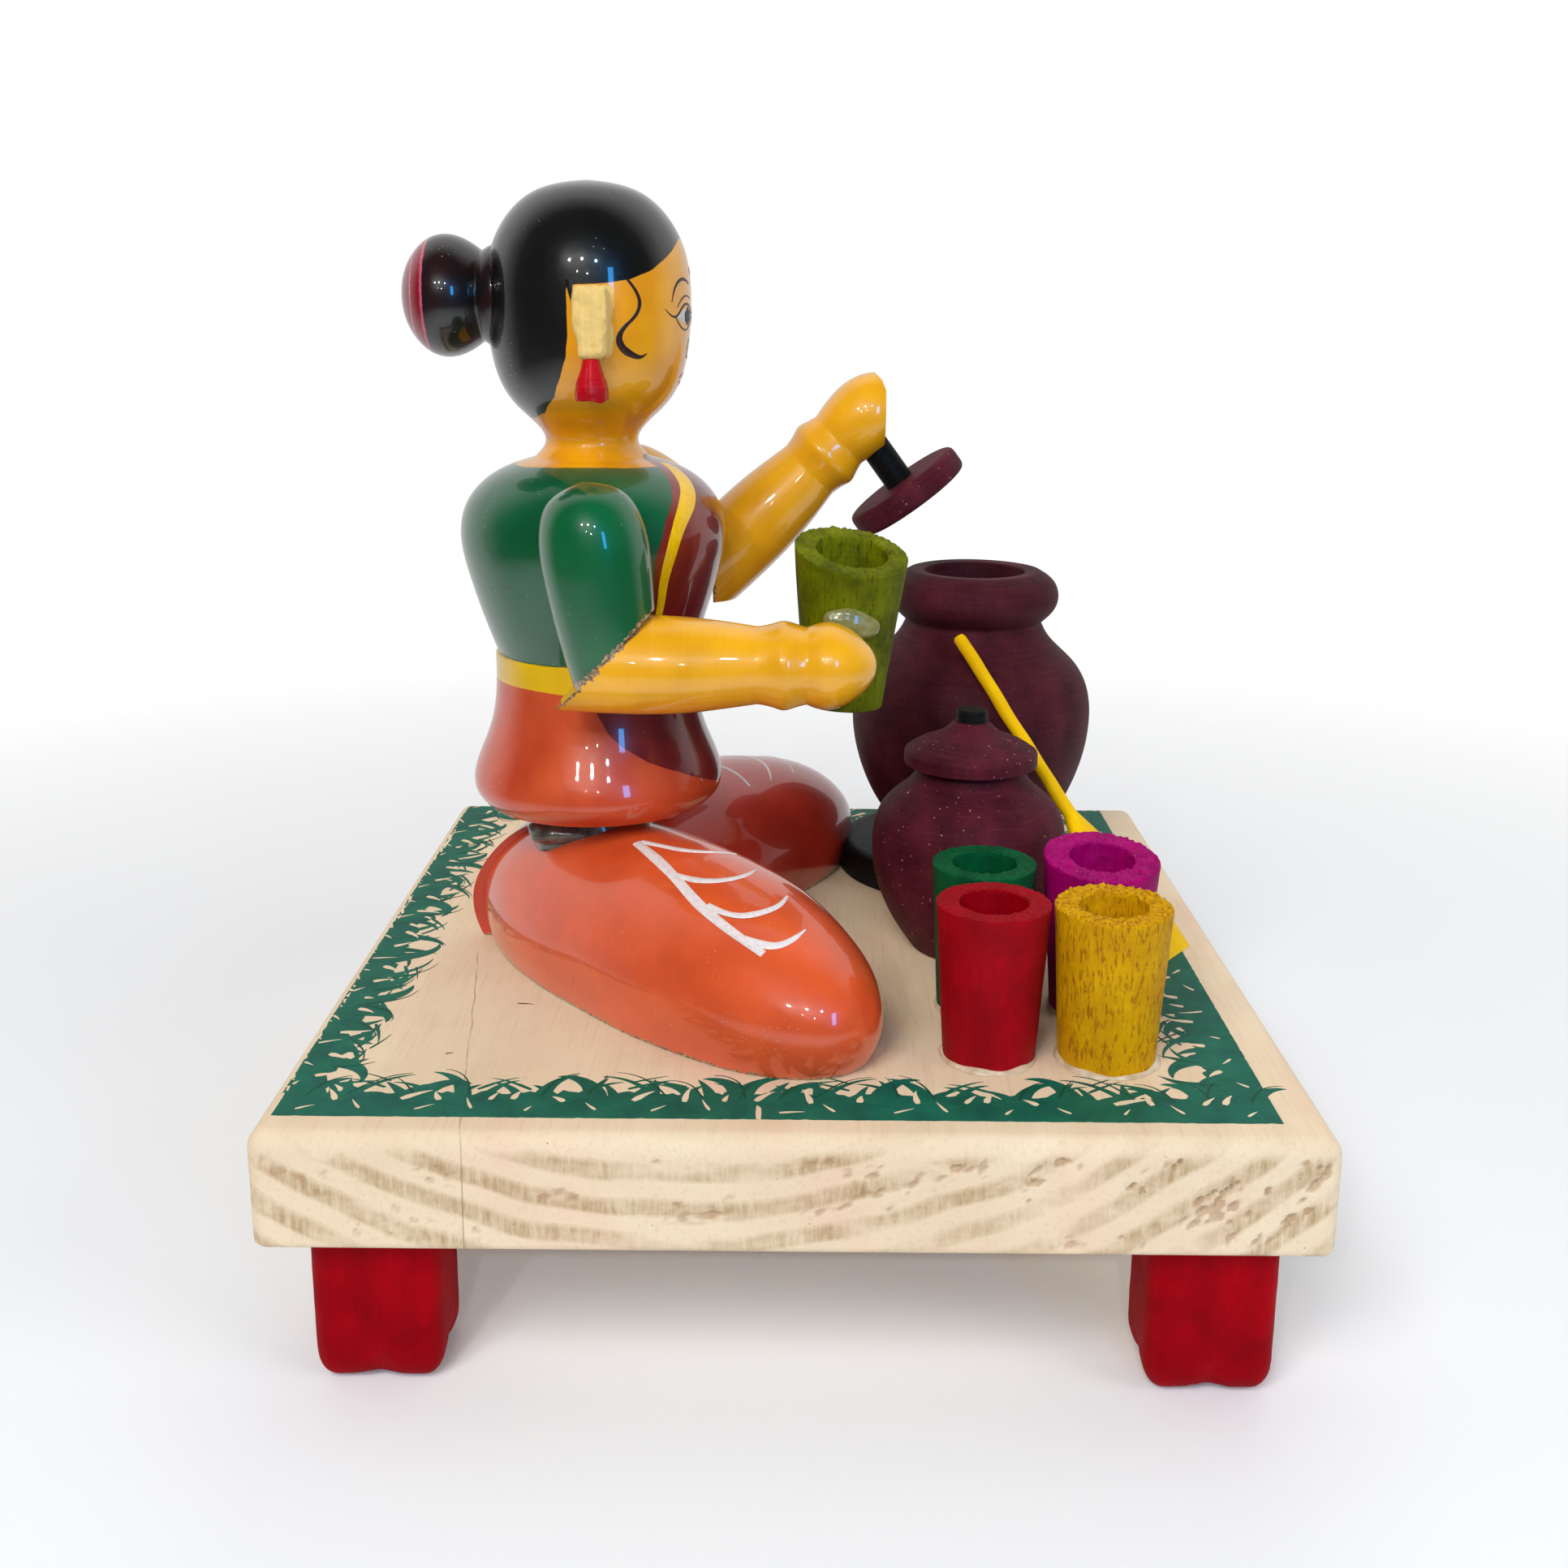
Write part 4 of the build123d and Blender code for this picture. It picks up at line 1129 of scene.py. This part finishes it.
def held_things():
    shape = slanted(6.5, 9.3, 25.6, 5.9, 15.0, (15.0, 5.0), 0.35, 2.0)
    piece("held_cup_shape", shape, CUP_PLACE, OLIVE, "right_arm", ("held_cup",))
    bead = at(8.6, -25.4, TOP + 62.2, (0, 14, 6))
    piece("held_cup_bead", blob((4.6, 1.1, 2.5), 1.0, 0.16), bead, CLEAR_GLUE, "right_arm",
          ("held_cup_glue",))
    lid = at(20.3, AXIS[1] + 27.5, TOP + 77.8, (0, -36.5, 0))
    disc = [[(0, -2.3), (10.3, -2.3)], [(10.3, -2.3), (11.2, -1.9), (11.5, -1.1)],
            [(11.5, -1.1), (11.5, 1.1)],
            [(11.5, 1.1), (11.2, 1.9), (10.3, 2.3)], [(10.3, 2.3), (0, 2.3)]]
    lathe("held_lid", disc, lid, WORN, "left_arm", 180, 0.4, 0.12, 3.0)
    stem = [[(0, -0.5), (2.7, -0.5)], [(2.7, -0.5), (2.7, 13.2)], [(2.7, 13.2), (2.4, 13.5)],
            [(2.4, 13.5), (0, 13.5)]]
    lathe("held_lid_stem", stem, lid, BLACK, "left_arm", 80, 0.4, 0.1, 4.0)


upper_arm("right_upper_arm", -1, "right_arm", GREEN)
upper_arm("left_upper_arm", 1, "left_arm", SKIN)
forearm("right_forearm", -1, "right_arm", 44.2)
forearm("left_forearm", 1, "left_arm", 48.5)
held_things()


# Legs and the glue that holds the woman on them

def leg_outline():
    run = []
    for k in range(15):
        t = -cos(pi * k / 14)
        run.append((18.9 * max(0.0, 1 - abs(t) ** 2.3) ** 0.5, 48.0 * t))
    return [run]


LEG_TURN = radians(-48.0)


def leg_place(mirrored):
    """Where a leg lies. The left one is the right one mirrored, and set a little back."""
    along = Vector((cos(LEG_TURN), sin(LEG_TURN), 0))
    side = Vector((-sin(LEG_TURN), cos(LEG_TURN), 0))
    place = Matrix.Translation((-21.9, -22.5, TOP + 6.4)) @ axes(side, (0, 0, 1), along)
    if mirrored:
        flip = Matrix.Translation((-1.8, -6.0, 0)) @ Matrix.Scale(-1, 4, (0, 1, 0))
        return flip @ place
    return place


def leg(name, mirrored, material):
    place = leg_place(mirrored)
    shape = turned(leg_outline(), around=200, step=0.7, wobble=0.3, seed=8.0 if mirrored else 6.0)
    above = moved(place, shape[0])[:, 2] - TOP
    side = 1 if mirrored else -1
    cuts = [((0, 0, TOP + GAP), Vector((0, 0, -1))), ((0, -3.0 + GAP * side, 0), Vector((0, -side, 0)))]
    fields = {"seam": above}
    piece(name + "_shape", shape, place, material, "base", (name,), cuts, fields)


def leg_strokes(name, mirrored):
    place = leg_place(mirrored)
    skin = Skin(leg_outline())
    band = [(102.4, -2.0), (107, 5.0), (113.6, 13.3), (119, 19.4), (123.4, 28), (124.8, 34.5)]
    if mirrored:
        toes = [[(98.5, -0.2), (91.2, 7.6), (80, 10.4), (69, 11.2), (57, 11.2)],
                [(109.5, 12.8), (101, 18), (88, 21.4), (74, 21), (58, 17.8)],
                [(116.5, 23.6), (108, 28), (92, 29.6), (76, 28.8), (62, 26.2)],
                [(122, 32), (112, 35.4), (98, 36), (86, 35.2)]]
    else:
        toes = [[(100.2, -1.6), (96.5, 3.4), (91.2, 7.6), (80, 10.2), (68.6, 10.6)],
                [(111.0, 11.6), (105.5, 17.2), (93.8, 19.8), (83.5, 19.6), (74, 18.2)],
                [(118.0, 21.6), (112.0, 27.5), (99.8, 29.3), (90, 29.2), (79.6, 27.7)],
                [(123.4, 30.0), (115.7, 34.9), (105.1, 35.8), (91, 35.4)]]
    shapes = [skin.stroke(band, (1.5, 1.9, 1.6, 1.7, 1.5, 1.2), 0.14)]
    for k, toe in enumerate(toes):
        shapes.append(skin.stroke(toe, (0.9, 1.4, 1.2, 0.9, 0.3) if k % 2 else (1.2, 1.0, 1.3, 1.0, 0.6),
                                  0.13))
    piece(name, joined(shapes), place, WHITE_STROKE, "base", crease=60)


leg("right_leg", False, NEAR_LEG)
# The far leg's darker lac is painted shade.
leg("left_leg", True, FAR_LEG_PAINTED_SHADE)
leg_strokes("right_leg_strokes", False)
leg_strokes("left_leg_strokes", True)


def seat_glue():
    """A thick pad of glue hidden under the hips, and the lump of it that has squeezed out on her right. Its
    dark grey colour is painted shade from the gap under the hips.
    """
    pad = [[(0, 18.4), (9.4, 18.4)], [(9.4, 18.4), (10.2, 21.0), (9.8, 24.4), (9.2, 27.15)],
           [(9.2, 27.15), (0, 27.15)]]
    verts, faces = turned(pad, around=120, step=0.6, wobble=2.0, seed=2.0)
    lump, lump_faces = blob((6.6, 3.0, 2.3), 3.0)
    lump = lump + np.array((-3.6, -7.4, 23.6))
    shape = joined([(verts, faces), (lump, lump_faces)])
    piece("seat_glue_shape", shape, at(AXIS[0] - 1, AXIS[1] - 3, TOP), GLUE_IN_PAINTED_SHADE, "base",
          ("seat_glue",))


seat_glue()


# Pots, stand and cups

def pots():
    belly = [(9.5, 6.2), (15.6, 11.2), (20.7, 19.6), (23.3, 30.5), (20.5, 42.4), (14.4, 49.0), (13.2, 51.4)]
    rim = [(13.2, 51.4), (16.3, 55.2), (15.9, 58.6), (12.6, 61.3)]
    within = [(9.6, 59.6), (9.9, 50.0), (18.6, 38.0), (18.8, 24.0), (11.0, 13.0), (0, 11.0)]
    big = [[(0, 6.25), (9.5, 6.25)], belly, rim, [(12.6, 61.3), (9.8, 61.1)], [(9.8, 61.1), (9.6, 59.6)],
           within]
    lathe("big_pot", big, at(34.8, 36.0, TOP), MAROON, "base", 220, 0.7, 0.25, 1.0)
    drum = [[(0, 0.03), (21.4, 0.03)], [(21.4, 0.03), (21.4, 4.4)], [(21.4, 4.4), (20.9, 5.7), (19.6, 6.2)],
            [(19.6, 6.2), (0, 6.2)]]
    lathe("big_pot_stand", drum, at(30.6, 37.2, TOP), BLACK, "base", 220, 0.6, 0.2, 7.0)
    belly = [(9.6, 0.03), (14.0, 6.6), (16.9, 18.6), (15.0, 26.4), (10.2, 31.0), (8.9, 33.4)]
    within = [(6.6, 33.4), (7.0, 29.6), (12.4, 24.0), (12.8, 14.0), (7.0, 6.0), (0, 5.0)]
    small = [[(0, 0.03), (9.6, 0.03)], belly, [(8.9, 33.4), (6.6, 33.4)], within]
    lathe("small_pot", small, at(30.6, -5.0, TOP), WORN, "base", 200, 0.6, 0.25, 9.0)
    roof = [(11.5, 35.9), (8.8, 37.6), (5.2, 39.2), (3.0, 41.2)]
    lid = [[(0, 31.1), (6.2, 31.1)], [(6.2, 31.1), (6.2, 33.7)], [(6.2, 33.7), (11.5, 33.7)],
           [(11.5, 33.7), (11.5, 35.9)], roof, [(3.0, 41.2), (0, 41.2)]]
    lathe("small_pot_lid", lid, at(30.6, -5.0, TOP), WORN, "small_lid", 180, 0.4, 0.2, 3.5)
    knob = [[(0, 40.2), (2.7, 40.2)], [(2.7, 40.2), (2.7, 42.9)], [(2.7, 42.9), (2.5, 43.3), (2.1, 43.4)],
            [(2.1, 43.4), (0, 43.4)]]
    lathe("small_pot_knob", knob, at(30.6, -5.0, TOP), BLACK, "small_lid", 90, 0.3, 0.16, 6.5)


def glue_ring(name, x, y, radius, seed):
    """The uneven bead of glue round a cup's foot."""
    rings = []
    for k in range(120):
        a = 2 * pi * k / 120
        out = 0.55 + 0.5 * bump(cos(a) * 1.6 + seed, sin(a) * 1.6, 0)
        out = max(0.12, out)
        ring = []
        for r, z in ((-0.5, 0.03), (out, 0.03), (out * 0.92, 0.25 * out), (out * 0.55, 0.7 * out),
                     (0.12, 1.1 * out), (-0.5, 1.1 * out)):
            ring.append(((radius + r) * cos(a), (radius + r) * sin(a), z))
        rings.append(np.array(ring))
    piece(name + "_ring", loft(rings, closed=True), at(x, y, TOP), GLUE, "base", (name,),
          crease=60)


def splinters(name, x, y, rim_r, height, count, material, seed):
    """Torn fibres that stand up from a cup's rim."""
    shapes = []
    for k in range(count):
        a = 2 * pi * (k + 0.45 * bump(k * 1.7, seed, 0)) / count
        tall = 0.5 + 1.2 * abs(bump(k * 2.3, seed, 5))
        wide = 0.22 + 0.3 * abs(bump(k * 3.1, seed, 8))
        lean = 1.2 * bump(k * 1.1, seed, 3)
        rings = []
        for s in (0, 0.3, 0.6, 0.85, 1.0):
            w = wide * (1 - s) + 0.02
            r = rim_r - 0.5 - abs(lean) * s * 0.5
            b = a + lean * s * 0.06
            ring = []
            for e in range(6):
                t = 2 * pi * e / 6
                ring.append((r * cos(b) - w * sin(b) * cos(t) + 0.1 * cos(b) * sin(t),
                             r * sin(b) + w * cos(b) * cos(t) + 0.1 * sin(b) * sin(t),
                             height - 0.5 + tall * s))
            rings.append(np.array(ring))
        shapes.append(loft(rings))
    piece(name + "_fibres", joined(shapes), at(x, y, TOP), material, "base", crease=60)


def cups():
    rows = [
        ("cup_red", 29.8, -49.3, 7.0, 8.6, 24.7, (0, 0), RED, "red_paint", 0.22),
        ("cup_yellow", 47.7, -50.2, 7.3, 8.8, 24.7, (0, 0), YELLOW, "yellow_paint", 0.5),
        ("cup_dark_green", 30.4, -31.6, 7.0, 8.4, 24.7, (0, 0), DARK_GREEN, "green_paint", 0.2),
        ("cup_magenta", 49.2, -31.2, 7.4, 9.3, 25.6, (7, 2), MAGENTA, "magenta_paint", 0.4),
    ]
    for k, (name, x, y, foot_r, rim_r, height, slant, material, slot, torn) in enumerate(rows):
        shape = slanted(foot_r, rim_r, height, 5.2, 15.0, slant, torn, 10.0 + 3 * k)
        shape[0][:, 2] = np.maximum(shape[0][:, 2], GAP)
        piece(name + "_shape", shape, at(x, y, TOP), material, "base", (name,))
        glue_ring(name + "_glue", x, y, foot_r, 2.0 * k)
    splinters("cup_yellow", 47.7, -50.2, 8.6, 24.7, 20, BRIGHT, 1.0)
    splinters("cup_magenta", 49.2, -31.2, 8.0, 25.2, 9, MAGENTA, 2.0)


def paddle():
    rise = Vector((-35.1, 30.0, 52.7)).normalized()
    across = Vector((0, 0, 1)).cross(rise).normalized()
    through = rise.cross(across)
    place = Matrix.Translation((64.4, -12.0, TOP)) @ axes(across, through, rise)
    wide = smooth([(9.5, -3.0), (8.9, 12.0), (5.1, 23.0), (1.2, 30.0)], 60)
    rings = []
    for h in np.concatenate([np.linspace(-3, 30, 60), np.linspace(30.6, 67.9, 62), [68.3, 68.45]]):
        half = float(np.interp(h, wide[:, 1], wide[:, 0])) if h < 30 else 1.2
        thick = 0.9 + 0.3 * min(1, max(0, (h - 20) / 8))
        if h > 68:
            half, thick = half * 0.8, thick * 0.8
        ring = []
        for k in range(32):
            a = 2 * pi * k / 32
            c, s = cos(a), sin(a)
            flat = 0.55 if h < 26 else 1.0 - 0.45 * max(0, (30 - h) / 4)
            ring.append((half * c, thick * np.sign(s) * abs(s) ** flat, h))
        rings.append(np.array(ring))
    verts, faces = loft(rings)
    verts = shaken(verts, 0.2, 6.0, 4.0)
    cuts = [((0, 0, TOP + GAP), Vector((0, 0, -1)))]
    piece("paddle_shape", (verts, faces), place, BRIGHT, "base", ("paddle",), cuts)


pots()
cups()
paddle()

for name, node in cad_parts.items():
    if name.endswith(("dowel", "peg")):
        node.data.materials.clear()
        node.data.materials.append(DOWEL)


# Floor, light and camera

def floor():
    """A pale floor that fades into the white room behind it."""
    mesh = bpy.data.meshes.new("floor")
    rim = [(2.5 * cos(2 * pi * k / 48), 2.5 * sin(2 * pi * k / 48), -0.0002) for k in range(48)]
    mesh.from_pydata(rim, [], [tuple(range(48))])
    made = placed("floor", mesh)
    finish = Finish("floor_white", 0.9, specular=0.1, own=True)
    away = finish.tree.nodes.new("ShaderNodeVectorMath")
    away.operation = "LENGTH"
    finish.tree.links.new(finish.local, away.inputs[0])
    finish.put("Base Color", (0.9, 0.9, 0.9, 1))
    finish.put("Alpha", finish.step(away.outputs["Value"], 420.0, 150.0))
    mesh.materials.append(finish.material)


AIM = Vector((0, 0, 0.09))


def lamp(name, place, size, power, colour=(1, 1, 1), seen=True):
    """A lamp aimed at the group. One that isn't seen has no reflection."""
    light = bpy.data.lights.new(name, "AREA")
    light.shape = "RECTANGLE"
    light.size, light.size_y = size
    light.energy = power
    light.color = colour
    made = placed(name, light)
    made.location = place
    made.rotation_euler = (AIM - Vector(place)).to_track_quat("-Z", "Y").to_euler()
    made.visible_glossy = seen


def studio():
    """A white room, dimmer on the photographer's side, with three soft lamps and six small bright ones."""
    world = bpy.data.worlds.new("studio")
    world.use_nodes = True
    tree = world.node_tree
    shade = tree.nodes["Background"]
    way = tree.nodes.new("ShaderNodeTexCoord")
    split = tree.nodes.new("ShaderNodeSeparateXYZ")
    ramp = tree.nodes.new("ShaderNodeMapRange")
    seen = tree.nodes.new("ShaderNodeLightPath")
    pick = tree.nodes.new("ShaderNodeMix")
    for name, value in (("From Min", -0.15), ("From Max", 0.30), ("To Min", 0.05), ("To Max", 0.70)):
        ramp.inputs[name].default_value = value
    pick.inputs[3].default_value = 1.0
    tree.links.new(way.outputs["Generated"], split.inputs[0])
    tree.links.new(split.outputs[1], ramp.inputs["Value"])
    tree.links.new(seen.outputs["Is Camera Ray"], pick.inputs[0])
    tree.links.new(ramp.outputs[0], pick.inputs[2])
    tree.links.new(pick.outputs[0], shade.inputs["Strength"])
    shade.inputs["Color"].default_value = (1, 1, 1, 1)
    bpy.context.scene.world = world
    lamp("key", (-0.35, -0.75, 0.85), (0.5, 0.5), 7.6, seen=False)
    lamp("fill", (0.9, -0.5, 0.5), (0.6, 0.6), 3.8, seen=False)
    lamp("back", (0.2, 0.9, 0.8), (0.8, 0.5), 2.0, seen=False)
    lamp("spark_a", (-0.26, -0.85, 0.53), (0.03, 0.03), 0.8)
    lamp("spark_b", (-0.04, -0.87, 0.55), (0.03, 0.03), 0.8)
    lamp("spark_c", (0.20, -0.84, 0.52), (0.035, 0.035), 0.6, (0.35, 0.65, 1.0))
    lamp("spark_d", (-0.12, -0.88, 0.38), (0.012, 0.012), 0.12)
    lamp("spark_e", (0.05, -0.88, 0.36), (0.012, 0.012), 0.12)
    lamp("window", (0.42, -0.75, 0.30), (0.09, 0.24), 1.0, (0.05, 0.40, 1.0))


def camera():
    data = bpy.data.cameras.new("camera")
    data.sensor_width = 36.0
    data.lens = 37.585
    data.shift_y = -0.0677
    data.clip_start = 0.01
    made = placed("camera", data)
    pitch, yaw, roll = radians(13.04), radians(-0.403), radians(0.285)
    right = Vector((cos(yaw), -sin(yaw), 0))
    ahead = Vector((sin(yaw) * cos(pitch), cos(yaw) * cos(pitch), -sin(pitch)))
    up = right.cross(ahead)
    rolled = right * cos(roll) + up * sin(roll)
    upright = up * cos(roll) - right * sin(roll)
    made.matrix_world = Matrix.Translation((-0.00019, -0.2811, 0.1546)) @ axes(rolled, upright, -ahead)
    bpy.context.scene.camera = made


floor()
studio()
camera()
bpy.context.scene.view_settings.view_transform = "Standard"
